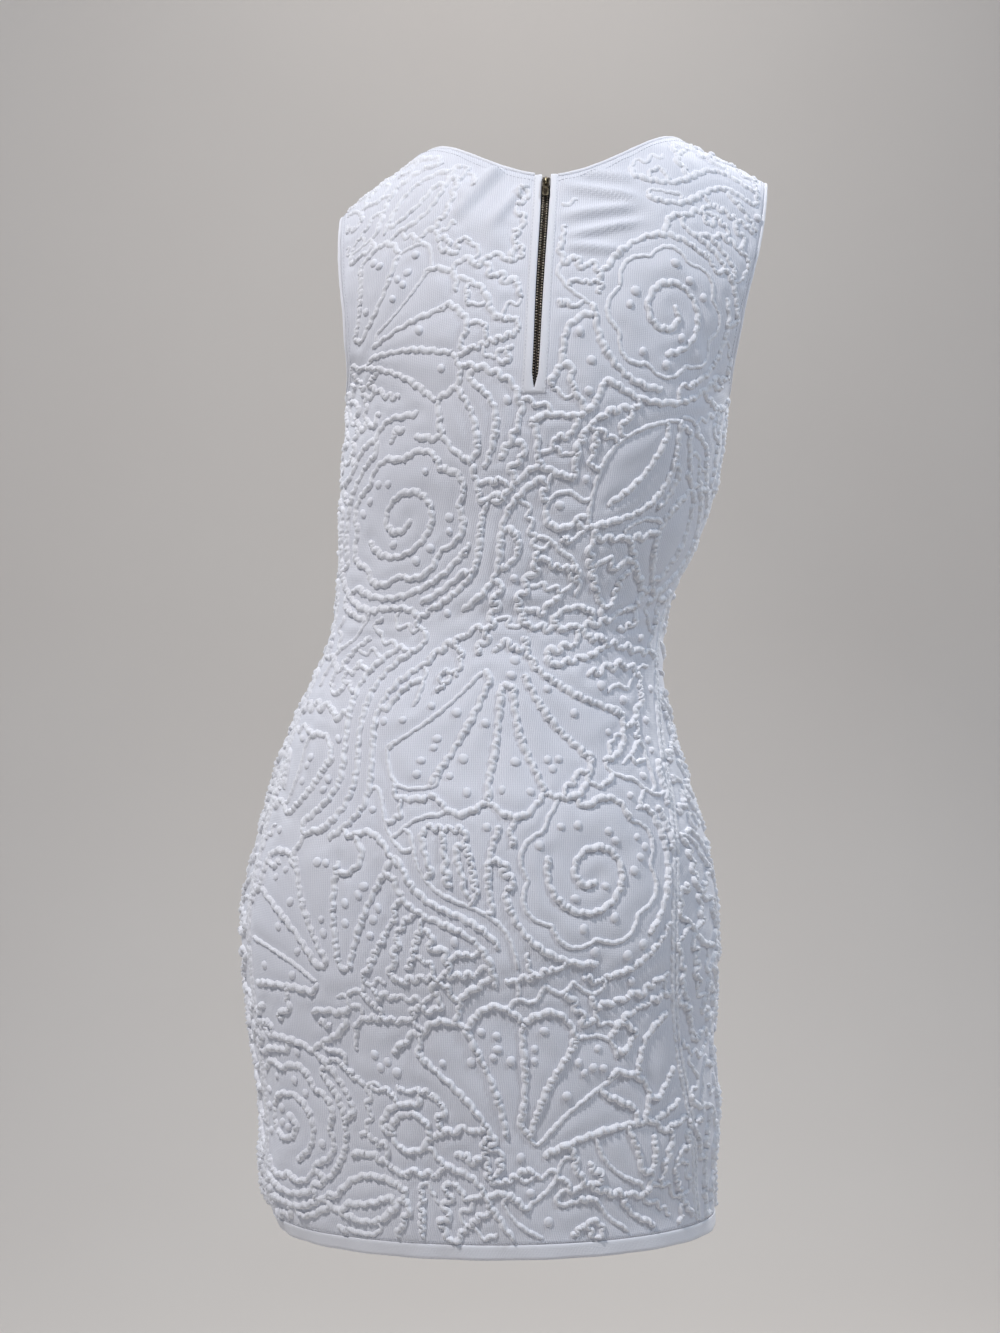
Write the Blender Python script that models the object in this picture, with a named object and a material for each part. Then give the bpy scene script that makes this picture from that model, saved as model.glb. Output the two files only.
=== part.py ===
"""A sleeveless knit dress, worn: two relief-knit panels, narrow edge bindings, a hem band and a back zip.

Metres, +Z up. The origin is mid-way between the shoulders, the front faces -Y and the wearer's left is +X.
The two panels lie on one smooth figure. A point of the cloth is (u, v): u runs round from the centre line,
towards +X, and v runs up the cloth from the bottom of the hem.
"""

import math

import bmesh
import bpy
import numpy as np
from mathutils import Matrix, Vector
from mathutils.geometry import delaunay_2d_cdt

# ---- Driving dimensions -------------------------------------------------------------------------

LENGTH = 0.8900  # hem to shoulder line, straight down
WALL = 0.0018  # the knit
SEAM_GAP = 0.0003  # between neighbouring pieces
HEM_BAND = 0.012
BEAD_RADIUS = 0.0016  # the bound neck and armhole edges

# The figure, a row for each level. height: up the cloth from the hem. centre and half_width: across.
# back, front: how far the cloth stands behind and before the origin. tilt: rise per metre towards +X.
# seam_left, seam_right: degrees by which each side seam lies behind the side.
FIGURE_COLUMNS = ("height", "centre", "half_width", "back", "front", "tilt", "seam_left", "seam_right")
FIGURE = (
    (0.000, 0.0455, 0.1785, 0.104, 0.101, 0.000, 14, 24),  # hem
    (0.028, 0.0524, 0.1851, 0.106, 0.103, 0.000, 15, 26),
    (0.085, 0.0520, 0.1875, 0.111, 0.106, 0.000, 16, 30),
    (0.167, 0.0580, 0.1905, 0.118, 0.108, 0.000, 18, 36),
    (0.250, 0.0600, 0.1955, 0.126, 0.107, 0.000, 18, 38),  # hip
    (0.330, 0.0588, 0.1810, 0.121, 0.105, 0.000, 16, 32),
    (0.410, 0.0580, 0.1565, 0.103, 0.101, 0.000, 14, 24),
    (0.495, 0.0440, 0.1360, 0.087, 0.095, 0.000, 10, 14),  # waist
    (0.560, 0.0285, 0.1475, 0.093, 0.101, 0.000, 6, 8),
    (0.625, 0.0175, 0.1555, 0.103, 0.118, 0.000, 2, 3),
    (0.680, 0.0125, 0.1570, 0.109, 0.127, 0.000, 0, 0),  # underarm
    (0.749, 0.0087, 0.1770, 0.109, 0.127, -0.025, 0, 0),
    (0.819, 0.0040, 0.1900, 0.109, 0.127, -0.036, 0, 0),
    (0.914, -0.0008, 0.2000, 0.109, 0.127, -0.040, 0, 0),  # shoulder
)
UNDERARM = 0.680  # height of the bottom of the armholes
YOKE_RISE = 0.21  # from the underarm up to the shoulder line, straight up
YOKE_DEPTH = 0.07  # mean depth of the cloth that curves over the shoulders
BACK_ROUND = 0.85  # under 1 keeps the back full up to the shoulders, over 1 lets the chest fall away
CHEST_ROUND = 1.6
SHOULDER_PEAK = 0.0080
SHOULDER_SLOPE = 0.138
SHOULDER_LEAN = 0.020  # how much steeper the shoulder falls on the +X side, and flatter on the other
SHOULDER_START = 0.475  # share of the half width where the shoulder starts to fall
SHOULDER_SOFT = 0.12
DEPTH_SHARE = 0.62  # depth to width of the mean section, for spacing points evenly round it

NECK_HALF = 0.113  # along the cloth, from the centre to the neck end of a shoulder seam
NECK_LINE = {"back": (0.0730, 1.75), "front": (0.108, 2.2)}  # drop below the shoulders, and its roundness
ARMHOLE = {"back": (62.0, 60.0), "front": (58.0, 60.0)}  # degrees round at the narrowest and at the top
ARMHOLE_LOW = 0.45  # share of the armhole's height that its lower curve takes

ZIP_U = 0.0045
PLACKET_HALF = 0.0094
PLACKET_BOTTOM = 0.6685  # height of the squared end
SLIT = ((0.6730, 0.0002), (0.6840, 0.0024), (0.7100, 0.0026), (0.7450, 0.0029), (0.8350, 0.0034))  # height, half width
TAPE_INNER = 0.00295
TAPE_OUTER = 0.0088
CHAIN_HALF = 0.0026

RELIEF = 0.0022  # how far a cord stands out
CORD_HALF = 0.0036
CORD_STEP = 0.0105
FOOT_APART = 0.003
CORD_CLEAR = 0.0095  # a cord ends where it would come this near another
EDGE_CLEAR = 0.0075
OUTER_STEP = 0.026
INNER_STEP = 0.038

# ---- The figure ---------------------------------------------------------------------------------

ROWS = {name: np.array([row[i] for row in FIGURE]) for i, name in enumerate(FIGURE_COLUMNS)}


def column(name, v):
    """A column of the figure at height v, as a smooth curve through its rows."""
    xs, ys = ROWS["height"], ROWS[name]
    slope = np.gradient(ys, xs)
    i = np.clip(np.searchsorted(xs, v) - 1, 0, len(xs) - 2)
    step = xs[i + 1] - xs[i]
    t = np.clip((v - xs[i]) / step, 0, 1)
    rise = (ys[i + 1] - ys[i]) * t * t * (3 - 2 * t)
    ends = step * (slope[i] * t * (1 - t) ** 2 - slope[i + 1] * t * t * (1 - t))
    return ys[i] + rise + ends


def running_length(across, deep, last, count=400):
    """The angles of an ellipse from its first axis on, and the length of its line up to each."""
    angle = np.linspace(0, last, count)
    pace = np.hypot(across * np.cos(angle), deep * np.sin(angle))
    length = np.concatenate([[0], np.cumsum((pace[1:] + pace[:-1]) / 2 * np.diff(angle))])
    return angle, length


ROUND_ANGLE, ROUND_LENGTH = running_length(1, DEPTH_SHARE, math.radians(150))
YOKE_ANGLE, YOKE_LENGTH = running_length(YOKE_RISE, YOKE_DEPTH, math.pi / 2)
TOP = UNDERARM + YOKE_LENGTH[-1]  # height of the shoulder line
SHOULDER_SEAM = TOP - SEAM_GAP  # where each panel ends short of it


def around(degrees, v):
    """The u of a place that many degrees round from the centre line, at height v."""
    return column("half_width", v) * np.interp(np.radians(degrees), ROUND_ANGLE, ROUND_LENGTH)


def shoulder_line(across):
    """Height of the shoulder line at a place across, as a signed share of the half width."""
    t = np.abs(across) - SHOULDER_START
    slope = SHOULDER_SLOPE + SHOULDER_LEAN * across
    return SHOULDER_PEAK - slope * (t + np.sqrt(t * t + SHOULDER_SOFT**2)) / 2


def cloth(panel, u, v, out=0.0):
    """World points of the cloth's outer face at (u, v), moved out by the given distance."""
    u, v = np.broadcast_arrays(np.asarray(u, float), np.asarray(v, float))

    def face(u, v):
        half, centre = column("half_width", v), column("centre", v)
        back, front = column("back", v), column("front", v)
        own, other = (back, front) if panel == "back" else (front, back)
        angle = np.interp(np.abs(u) / half, ROUND_LENGTH, ROUND_ANGLE) * np.sign(u)
        yoke = np.interp(v - UNDERARM, YOKE_LENGTH, YOKE_ANGLE)
        roundness = BACK_ROUND if panel == "back" else CHEST_ROUND
        fall = np.cos(yoke) ** (1 + (roundness - 1) * np.cos(yoke))
        deep = np.where(np.cos(angle) >= 0, own, other) * np.cos(angle) * fall
        side = half * np.sin(angle)
        low = np.minimum(v, UNDERARM) - LENGTH
        rise = (shoulder_line(np.sin(angle)) + LENGTH - UNDERARM) * np.sin(yoke)
        z = low + rise + column("tilt", v) * side
        return np.stack([centre + side, deep if panel == "back" else -deep, z], -1)

    here = face(u, v)
    if np.all(np.asarray(out) == 0):
        return here
    nudge = 0.0008
    v_high, v_low = np.minimum(v + nudge, TOP - 1e-5), np.minimum(v - nudge, TOP - 2 * nudge)
    along = face(u + nudge, v) - face(u - nudge, v)
    up = face(u, v_high) - face(u, v_low)
    normal = np.cross(along, up) * (-1 if panel == "back" else 1)
    normal /= np.linalg.norm(normal, axis=-1, keepdims=True)
    return here + normal * np.asarray(out)[..., None]


def side_edge(panel, side, v):
    """The u of a panel's side edge or armhole edge at height v. side is 1 towards +X, -1 towards -X."""
    sign = 1 if panel == "back" else -1
    behind = column("seam_left" if side > 0 else "seam_right", np.minimum(v, UNDERARM))
    narrow, top = ARMHOLE[panel]
    share = np.clip((v - UNDERARM) / (TOP - UNDERARM), 0, 1)
    low = np.clip(share / ARMHOLE_LOW, 0, 1)
    high = np.clip((share - ARMHOLE_LOW) / (1 - ARMHOLE_LOW), 0, 1)
    curve = 90 - (90 - narrow) * np.sqrt(1 - (1 - low) ** 2) + (top - narrow) * high * high
    degrees = np.where(v <= UNDERARM, 90 - sign * behind, curve)
    return side * (around(degrees, v) - SEAM_GAP / 2)


def neck_edge(panel, u):
    drop, roundness = NECK_LINE[panel]
    return SHOULDER_SEAM - drop * (1 - np.minimum(np.abs(u) / NECK_HALF, 1) ** roundness)


# ---- Outlines in (u, v) -------------------------------------------------------------------------

SEAM_HEIGHTS = np.linspace(HEM_BAND + SEAM_GAP, UNDERARM, 31)
# Even steps round the lower curve of the armhole, then even steps up to the shoulder.
LOW_SHARES = ARMHOLE_LOW * (1 - np.cos(np.linspace(0, math.pi / 2, 9)))
ARM_SHARES = np.concatenate([LOW_SHARES[1:], np.linspace(ARMHOLE_LOW, 1, 7)[1:]])
ARM_HEIGHTS = UNDERARM + ARM_SHARES * (SHOULDER_SEAM - UNDERARM)
SLIT_HEIGHTS = np.linspace(PLACKET_BOTTOM, neck_edge("back", PLACKET_HALF), 13)
NOTCH = PLACKET_HALF + SEAM_GAP


def neck_run(panel, start, end, count):
    u = np.linspace(start, end, count)
    return [(a, b) for a, b in zip(u, neck_edge(panel, u))]


def side_run(panel, side):
    heights = np.concatenate([SEAM_HEIGHTS, ARM_HEIGHTS])
    return [(a, b) for a, b in zip(side_edge(panel, side, heights), heights)]


def panel_outline(panel):
    """The panel's edge: hem, side at +X, neck and side at -X."""
    left, right = side_run(panel, 1), side_run(panel, -1)
    hem = np.linspace(right[0][0], left[0][0], 25)[1:-1]
    points = [(a, SEAM_HEIGHTS[0]) for a in hem] + left
    points += [(a, left[-1][1]) for a in np.linspace(left[-1][0], NECK_HALF, 4)[1:-1]]
    if panel == "front":
        points += neck_run(panel, NECK_HALF, -NECK_HALF, 25)
    else:
        heights = np.append(SLIT_HEIGHTS[::-1][1:-1], PLACKET_BOTTOM - SEAM_GAP)
        points += neck_run(panel, NECK_HALF, ZIP_U + NOTCH, 12)
        points += [(ZIP_U + NOTCH, b) for b in heights] + [(ZIP_U - NOTCH, b) for b in heights[::-1]]
        points += neck_run(panel, ZIP_U - NOTCH, -NECK_HALF, 13)
    points += [(a, right[-1][1]) for a in np.linspace(-NECK_HALF, right[-1][0], 4)[1:-1]]
    return points + right[::-1]


def inside(panel, points, margin):
    """True for each (u, v) that lies on the panel, at least the margin from its edges."""
    u, v = points[:, 0], points[:, 1]
    level = np.minimum(v, TOP)
    on = (v > HEM_BAND + margin) & (v < neck_edge(panel, u) - margin)
    on &= (u < side_edge(panel, 1, level) - margin) & (u > side_edge(panel, -1, level) + margin)
    if panel == "back":
        on &= (np.abs(u - ZIP_U) > NOTCH + margin) | (v < PLACKET_BOTTOM - margin)
    return on


# ---- Relief: cords of the knit, drawn in (u, v) --------------------------------------------------


def bow(start, end, bulge, count=24):
    """A line between two points that bows to its left by the bulge, a share of its length."""
    start, end = np.array(start, float), np.array(end, float)
    t = np.linspace(0, 1, count)[:, None]
    across = np.array([start[1] - end[1], end[0] - start[0]])
    return start + (end - start) * t + across * bulge * np.sin(math.pi * t)


def fan(size):
    """Ribs that spread from one point, under a scalloped edge."""
    turns = np.radians(np.linspace(-56, 56, 6))
    tips = [(size * math.sin(a), size * math.cos(a)) for a in turns]
    ribs = [bow((x * 0.2, y * 0.2), (x * 0.9, y * 0.9), 0.05 * np.sign(x)) for x, y in tips]
    return ribs + [bow(a, b, 0.34) for a, b in zip(tips[:-1], tips[1:])]


def leaf(size):
    """A pointed leaf with a second, smaller curve inside it."""
    low, high = (0, -size / 2), (0, size / 2)
    return [bow(low, high, 0.26), bow(high, low, 0.26), bow((0, -size * 0.3), (0, size * 0.34), 0.09)]


def rosette(size):
    """A spiral in a scalloped ring."""
    t = np.linspace(1.8, 3.4 * math.pi, 60)
    radius = size * 0.058 * t
    spiral = np.stack([radius * np.cos(t), radius * np.sin(t)], -1)
    t = np.linspace(0, 2 * math.pi, 91)
    radius = size * (0.84 + 0.14 * np.abs(np.sin(4 * t)))
    return [spiral, np.stack([radius * np.cos(t), radius * np.sin(t)], -1)]


def sweep(size):
    """Three long cords that run side by side in an S."""
    t = np.linspace(-1, 1, 40)
    return [
        np.stack([size * (0.16 * np.sin(math.pi * t) + shift), size * t * (1 - 0.5 * abs(shift))], -1)
        for shift in (-0.16, 0, 0.16)
    ]


def garland(size):
    """A hanging line of small scallops."""
    t = np.linspace(-1, 1, 80)
    return [np.stack([size * t, size * (0.35 * t * t + 0.2 * np.abs(np.sin(2 * math.pi * t)))], -1)]


def ring(size):
    t = np.linspace(0, 2 * math.pi, 25)
    return [np.stack([size * np.cos(t), size * np.sin(t)], -1)]


MOTIFS = {"fan": fan, "leaf": leaf, "rosette": rosette, "sweep": sweep, "garland": garland, "ring": ring}
# Where each motif lies: size in metres, turn in degrees anticlockwise, seen with +X to the right.
LAYOUT_COLUMNS = ("kind", "u", "v", "size", "turn")
BACK_LAYOUT = (
    ("fan", -0.012, 0.470, 0.115, 172),
    ("rosette", -0.100, 0.735, 0.052, 20),
    ("rosette", 0.098, 0.575, 0.054, 80),
    ("fan", 0.168, 0.712, 0.098, 62),
    ("sweep", 0.098, 0.400, 0.085, 28),
    ("rosette", -0.088, 0.300, 0.060, 130),
    ("fan", 0.110, 0.205, 0.115, -35),
    ("leaf", -0.085, 0.610, 0.110, 38),
    ("leaf", -0.140, 0.560, 0.095, 12),
    ("fan", -0.020, 0.075, 0.112, 18),
    ("rosette", 0.172, 0.098, 0.050, 0),
    ("sweep", 0.020, 0.270, 0.070, -40),
    ("leaf", 0.055, 0.650, 0.085, -25),
    ("garland", -0.095, 0.430, 0.050, -12),
    ("leaf", -0.155, 0.150, 0.110, 25),
    ("leaf", -0.110, 0.090, 0.090, -30),
    ("garland", 0.075, 0.770, 0.040, 15),
    ("sweep", -0.120, 0.850, 0.055, 70),
    ("fan", 0.180, 0.330, 0.080, 80),
    ("leaf", 0.110, 0.840, 0.070, 60),
    ("ring", -0.030, 0.580, 0.014, 0),
    ("ring", 0.060, 0.100, 0.015, 0),
    ("leaf", 0.095, 0.045, 0.070, 75),
    ("garland", -0.050, 0.215, 0.045, 165),
    ("sweep", 0.022, 0.555, 0.058, 20),
)
FRONT_LAYOUT = (
    ("fan", 0.010, 0.640, 0.112, 168),
    ("rosette", 0.105, 0.660, 0.054, 10),
    ("rosette", -0.115, 0.590, 0.054, 70),
    ("fan", -0.140, 0.440, 0.105, 24),
    ("fan", 0.030, 0.300, 0.118, -16),
    ("rosette", -0.090, 0.260, 0.060, 40),
    ("sweep", 0.105, 0.500, 0.085, -22),
    ("rosette", 0.165, 0.300, 0.055, 100),
    ("fan", -0.185, 0.085, 0.115, -20),
    ("leaf", -0.020, 0.430, 0.105, -38),
    ("leaf", -0.055, 0.120, 0.115, 30),
    ("leaf", 0.010, 0.110, 0.105, 8),
    ("fan", 0.130, 0.060, 0.112, 22),
    ("sweep", 0.140, 0.800, 0.060, 60),
    ("leaf", -0.120, 0.720, 0.090, 30),
    ("garland", -0.095, 0.800, 0.040, 10),
    ("leaf", -0.190, 0.300, 0.090, 20),
    ("garland", 0.070, 0.215, 0.050, 170),
    ("leaf", 0.215, 0.180, 0.095, -20),
    ("ring", -0.030, 0.700, 0.014, 0),
    ("leaf", 0.040, 0.750, 0.085, 70),
    ("garland", -0.130, 0.365, 0.050, -15),
)


def even_steps(line, step):
    run = np.concatenate([[0], np.cumsum(np.linalg.norm(np.diff(line, axis=0), axis=1))])
    count = max(2, round(run[-1] / step) + 1)
    places = np.linspace(0, run[-1], count)
    return np.stack([np.interp(places, run, line[:, 0]), np.interp(places, run, line[:, 1])], -1)


def kept_runs(line, keep):
    """The stretches of a line whose points are all kept."""
    breaks = np.flatnonzero(np.diff(keep.astype(int))) + 1
    return [part for part, on in zip(np.split(line, breaks), np.split(keep, breaks)) if on[0]]


def relief_cords(panel, layout):
    """The panel's cords, as lines in (u, v). Each one ends at the panel's edge or short of an earlier one."""
    cords = []
    laid = np.empty((0, 2))
    for kind, u, v, size, turn in layout:
        angle = math.radians(turn)
        spin = np.array([[math.cos(angle), math.sin(angle)], [-math.sin(angle), math.cos(angle)]])
        for stroke in MOTIFS[kind](size):
            line = even_steps(stroke @ spin + (u, v), 0.002)
            keep = inside(panel, line, EDGE_CLEAR)
            if len(laid):
                gaps = np.linalg.norm(line[:, None] - laid[None], axis=-1).min(axis=1)
                keep &= gaps > CORD_CLEAR
            for run in kept_runs(line, keep):
                if len(run) * 0.002 > 2.4 * CORD_STEP:
                    cords.append(run)
                    laid = np.concatenate([laid, run])
    return cords


# ---- Meshes -------------------------------------------------------------------------------------


def material(name, colour, roughness, metallic=0.0):
    made = bpy.data.materials.new(name)
    made.use_nodes = True
    shader = made.node_tree.nodes["Principled BSDF"]
    shader.inputs["Base Color"].default_value = (*colour, 1)
    shader.inputs["Roughness"].default_value = roughness
    shader.inputs["Metallic"].default_value = metallic
    return made


def add_object(name, mesh, finish, collection):
    made = bpy.data.objects.new(name, mesh)
    made.data.materials.append(finish)
    collection.objects.link(made)
    return made


def solid(name, points, faces, finish, collection):
    """One object from points and faces, its faces turned outwards."""
    mesh = bpy.data.meshes.new(name)
    mesh.from_pydata([tuple(p) for p in points], [], faces)
    work = bmesh.new()
    work.from_mesh(mesh)
    bmesh.ops.recalc_face_normals(work, faces=work.faces)
    work.to_mesh(mesh)
    work.free()
    mesh.shade_smooth()
    mesh.set_sharp_from_angle(angle=math.radians(35))
    return add_object(name, mesh, finish, collection)


def within(outline, points):
    """True for each point inside the closed outline, which a ray from it crosses an odd number of times."""
    odd = np.zeros(len(points), bool)
    x, y = points[:, 0], points[:, 1]
    for (x1, y1), (x2, y2) in zip(outline, outline[1:] + outline[:1]):
        if y1 != y2:
            odd ^= ((y1 > y) != (y2 > y)) & (x < (x2 - x1) * (y - y1) / (y2 - y1) + x1)
    return odd


def triangulate(outline, lines, spots):
    """Triangles that fill the outline and keep each line's edges: the points, the faces, the outline's places."""
    points, edges = list(outline), []
    for line in lines:
        first = len(points)
        points += [tuple(p) for p in line]
        edges += [(first + i, first + i + 1) for i in range(len(line) - 1)]
    points += [tuple(p) for p in spots]
    flat = [Vector((1000 * a, 1000 * b)) for a, b in points]
    edges += [(i - 1, i) if i else (len(outline) - 1, 0) for i in range(len(outline))]
    made, _, faces, sources, _, _ = delaunay_2d_cdt(flat, edges, [], 0, 0.05)
    place = {source: i for i, group in enumerate(sources) for source in group}
    made = np.array([(p.x, p.y) for p in made]) / 1000
    faces = np.array(faces)
    faces = faces[within(outline, made[faces].mean(axis=1))]
    return made, [tuple(face) for face in faces.tolist()], [place[i] for i in range(len(outline))]


def lattice(panel, step, margin, avoid=None, clear=0.0):
    """Staggered points over the panel, kept off its edge and off the points to avoid."""
    rows = np.arange(HEM_BAND + step / 2, TOP, step * 0.87)
    spots = np.array([(a + (i % 2) * step / 2, b) for i, b in enumerate(rows) for a in np.arange(-0.4, 0.4, step)])
    spots = spots[inside(panel, spots, margin)]
    if avoid is None:
        return spots
    gaps = np.linalg.norm(spots[:, None] - avoid[None], axis=-1).min(axis=1)
    return spots[gaps > clear]


def cord_feet(crests, dense):
    """Points on both sides of the cords and round their ends, where they meet the ground."""
    feet = []
    for crest in crests:
        along = np.gradient(crest, axis=0)
        along *= CORD_HALF / np.linalg.norm(along, axis=1, keepdims=True)
        across = np.stack([-along[:, 1], along[:, 0]], -1)
        feet += [crest + across, crest - across, crest[-1:] + along[-1:], crest[:1] - along[:1]]
    kept = []
    for spot in np.concatenate(feet):
        clear = np.linalg.norm(dense - spot, axis=1).min() > 0.85 * CORD_HALF
        if clear and (not kept or np.linalg.norm(np.array(kept) - spot, axis=1).min() > FOOT_APART):
            kept.append(spot)
    return np.array(kept)


def dress_panel(panel, layout, finish, collection):
    """A panel: its outer points stand out along the cords, over a plain inside."""
    outline = panel_outline(panel)
    cords = relief_cords(panel, layout)
    crests = [even_steps(cord, CORD_STEP) for cord in cords]
    dense = np.concatenate([even_steps(crest, 0.001) for crest in crests])
    spots = np.concatenate([cord_feet(crests, dense), lattice(panel, OUTER_STEP, 0.011, dense, 0.014)])
    outer, outer_faces, outer_edge = triangulate(outline, crests, spots)
    gaps = np.array([np.linalg.norm(spot - dense, axis=1).min() for spot in outer])
    height = RELIEF * np.clip(1 - gaps / (0.8 * CORD_HALF), 0, 1)
    inner, inner_faces, inner_edge = triangulate(outline, [], lattice(panel, INNER_STEP, 0.014))
    points = np.concatenate([
        cloth(panel, outer[:, 0], outer[:, 1], height),
        cloth(panel, inner[:, 0], inner[:, 1], np.full(len(inner), -WALL)),
    ])
    first = len(outer)
    faces = outer_faces + [tuple(first + i for i in face[::-1]) for face in inner_faces]
    for i in range(len(outline)):
        a, b = outer_edge[i - 1], outer_edge[i]
        c, d = first + inner_edge[i], first + inner_edge[i - 1]
        faces.append((b, a, d, c))
    return solid(f"{panel}_panel", points, faces, finish, collection)


def loft(name, rings, finish, collection, closed=False):
    """A solid through rings of the same number of points, capped unless it closes on itself."""
    count = len(rings[0])
    last = len(rings) if closed else len(rings) - 1
    faces = [
        (r * count + i, r * count + (i + 1) % count, (r + 1) % len(rings) * count + (i + 1) % count,
         (r + 1) % len(rings) * count + i)
        for r in range(last)
        for i in range(count)
    ]
    if not closed:
        faces += [tuple(range(count)), tuple(range(len(rings) * count - 1, (len(rings) - 1) * count - 1, -1))]
    return solid(name, np.concatenate(rings), faces, finish, collection)


def bead(name, path, closed, finish, collection):
    """A bound edge: a round cord of cloth along the path."""
    curve = bpy.data.curves.new(name, "CURVE")
    curve.dimensions = "3D"
    curve.bevel_depth = BEAD_RADIUS
    curve.bevel_resolution = 1
    curve.use_fill_caps = True
    spline = curve.splines.new("POLY")
    spline.points.add(len(path) - 1)
    for point, place in zip(spline.points, path):
        point.co = (*place, 1)
    spline.use_cyclic_u = closed
    return add_object(name, curve, finish, collection)


def edge_path(stretches, side):
    """The path of a bound edge, outside the cloth edge that the stretches follow.

    A stretch is a panel and its edge's (u, v) points. side is 1 where the opening is on the path's left,
    seen from outside the dress.
    """
    mid, normal = [], []
    for panel, run in stretches:
        run = np.array(run)
        face = cloth(panel, run[:, 0], run[:, 1])
        inner = cloth(panel, run[:, 0], run[:, 1], np.full(len(run), -WALL))
        mid.append((face + inner) / 2)
        normal.append((face - inner) / WALL)
    mid, normal = np.concatenate(mid), np.concatenate(normal)
    along = np.roll(mid, -1, axis=0) - np.roll(mid, 1, axis=0)
    along[0], along[-1] = mid[1] - mid[0], mid[-1] - mid[-2]
    out = np.cross(normal, along) * side
    out /= np.linalg.norm(out, axis=1, keepdims=True)
    return mid + out * (BEAD_RADIUS + SEAM_GAP)


def neck_binding(finish, collection):
    back_left = neck_run("back", ZIP_U + NOTCH, NECK_HALF, 12)[:-1]
    front = neck_run("front", NECK_HALF, -NECK_HALF, 25)
    back_right = neck_run("back", -NECK_HALF, ZIP_U - NOTCH, 13)[1:]
    path = edge_path([("back", back_left), ("front", front), ("back", back_right)], -1)
    return bead("neck_binding", path, False, finish, collection)


def armhole_binding(name, side, finish, collection):
    heights = np.concatenate([[UNDERARM], ARM_HEIGHTS])
    back = [(a, b) for a, b in zip(side_edge("back", side, heights), heights)]
    front = [(a, b) for a, b in zip(side_edge("front", side, heights), heights)]
    path = edge_path([("back", back[:-1]), ("front", front[::-1][:-1])], side)
    return bead(name, path, True, finish, collection)


def hem_band(finish, collection):
    """The plain band round the hem, one closed ring."""
    proud = 0.0003
    rings = []
    for panel, angles in (("back", np.linspace(-90, 90, 33)[:-1]), ("front", np.linspace(90, -90, 33)[:-1])):
        for angle in angles:
            u = [math.copysign(1, angle) * around(abs(angle), v) for v in (0, 0, HEM_BAND, HEM_BAND)]
            v = [0, 0, HEM_BAND, HEM_BAND]
            rings.append(cloth(panel, u, v, np.array([-WALL, proud, proud, -WALL])))
    return loft("hem_band", rings, finish, collection, closed=True)


def slit_half(v):
    return np.interp(v, [row[0] for row in SLIT], [row[1] for row in SLIT])


def zip_ring(u_low, u_high, v_low, v_high, low, high):
    """Four points of a piece by the zip: from (u_low, v_low) to (u_high, v_high), between two depths."""
    u = ZIP_U + np.array([u_low, u_high, u_high, u_low])
    v = np.array([v_low, v_high, v_high, v_low])
    return cloth("back", u, v, np.array([low, low, high, high]))


def placket(finish, collection):
    """The plain strip round the zip: down one side, across the squared end and up the other."""
    low, high = -0.0012, 0.0005
    tip = SLIT[0][0]
    down = [v for v in SLIT_HEIGHTS[::-1] if v > tip]
    rings = [zip_ring(-PLACKET_HALF, -slit_half(v), v, v, low, high) for v in down]
    rings.append(zip_ring(-PLACKET_HALF, -0.0002, PLACKET_BOTTOM, tip, low, high))
    rings.append(zip_ring(0, 0, PLACKET_BOTTOM, tip - 0.0004, low, high))
    rings.append(zip_ring(PLACKET_HALF, 0.0002, PLACKET_BOTTOM, tip, low, high))
    rings += [zip_ring(PLACKET_HALF, slit_half(v), v, v, low, high) for v in down[::-1]]
    return loft("zip_placket", rings, finish, collection)


def zip_strip(name, inner, outer, low, high, v_low, v_high, finish, collection):
    """A strip of the zip between two distances from its centre line and two depths."""
    heights = [v_low, *(v for v in SLIT_HEIGHTS if v_low + 0.004 < v < v_high - 0.004), v_high]
    rings = [zip_ring(inner, outer, v, v, low, high) for v in heights]
    return loft(name, rings, finish, collection)


# The slider, in millimetres: x across the zip, y up it, z out of the cloth's face.
SLIDER_HALF = (2.6, 4.5)
SLIDER_DEPTH = (-3.2, 1.2)
BRIDGE_HALF = 0.8
BRIDGE_HEIGHT = 3.2
BRIDGE_REACH = 3.3
BRIDGE_BAR = 1.1
HINGE = (1.1, 2.15)  # y and z of the pull tab's hinge line
PULL_HALF = 2.5
PULL_HOLE = 1.25
PULL_THICK = 1.1
PULL_LENGTH = 16.5
SLIDER_DROP = 0.0052  # from the neck edge to the slider's middle


def slider_frame():
    """The slider's place: x across, y up the zip, z out of the cloth."""
    v = float(neck_edge("back", 0)) - SLIDER_DROP
    origin = Vector(cloth("back", ZIP_U, v).tolist())
    up = Vector((cloth("back", ZIP_U, v + 0.004) - cloth("back", ZIP_U, v - 0.004)).tolist()).normalized()
    out = Vector((cloth("back", ZIP_U, v, 0.01) - cloth("back", ZIP_U, v)).tolist()).normalized()
    across = up.cross(out).normalized()
    out = across.cross(up)
    turn = Matrix((across, up, out)).transposed().to_4x4()
    return Matrix.Translation(origin) @ turn


def flat_outline(name, loops, thickness):
    """A plate from closed outlines in millimetres, centred on z = 0, as a mesh."""
    curve = bpy.data.curves.new(name, "CURVE")
    curve.dimensions = "2D"
    curve.fill_mode = "BOTH"
    curve.extrude = thickness / 2000
    for loop in loops:
        spline = curve.splines.new("POLY")
        spline.points.add(len(loop) - 1)
        for point, (x, y) in zip(spline.points, loop):
            point.co = (x / 1000, y / 1000, 0, 1)
        spline.use_cyclic_u = True
    made = bpy.data.objects.new(name, curve)
    bpy.context.scene.collection.objects.link(made)
    evaluated = made.evaluated_get(bpy.context.evaluated_depsgraph_get())
    mesh = bpy.data.meshes.new_from_object(evaluated)
    bpy.data.objects.remove(made)
    work = bmesh.new()
    work.from_mesh(mesh)
    bmesh.ops.remove_doubles(work, verts=work.verts, dist=1e-6)
    bmesh.ops.recalc_face_normals(work, faces=work.faces)
    work.to_mesh(mesh)
    work.free()
    return mesh


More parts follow.
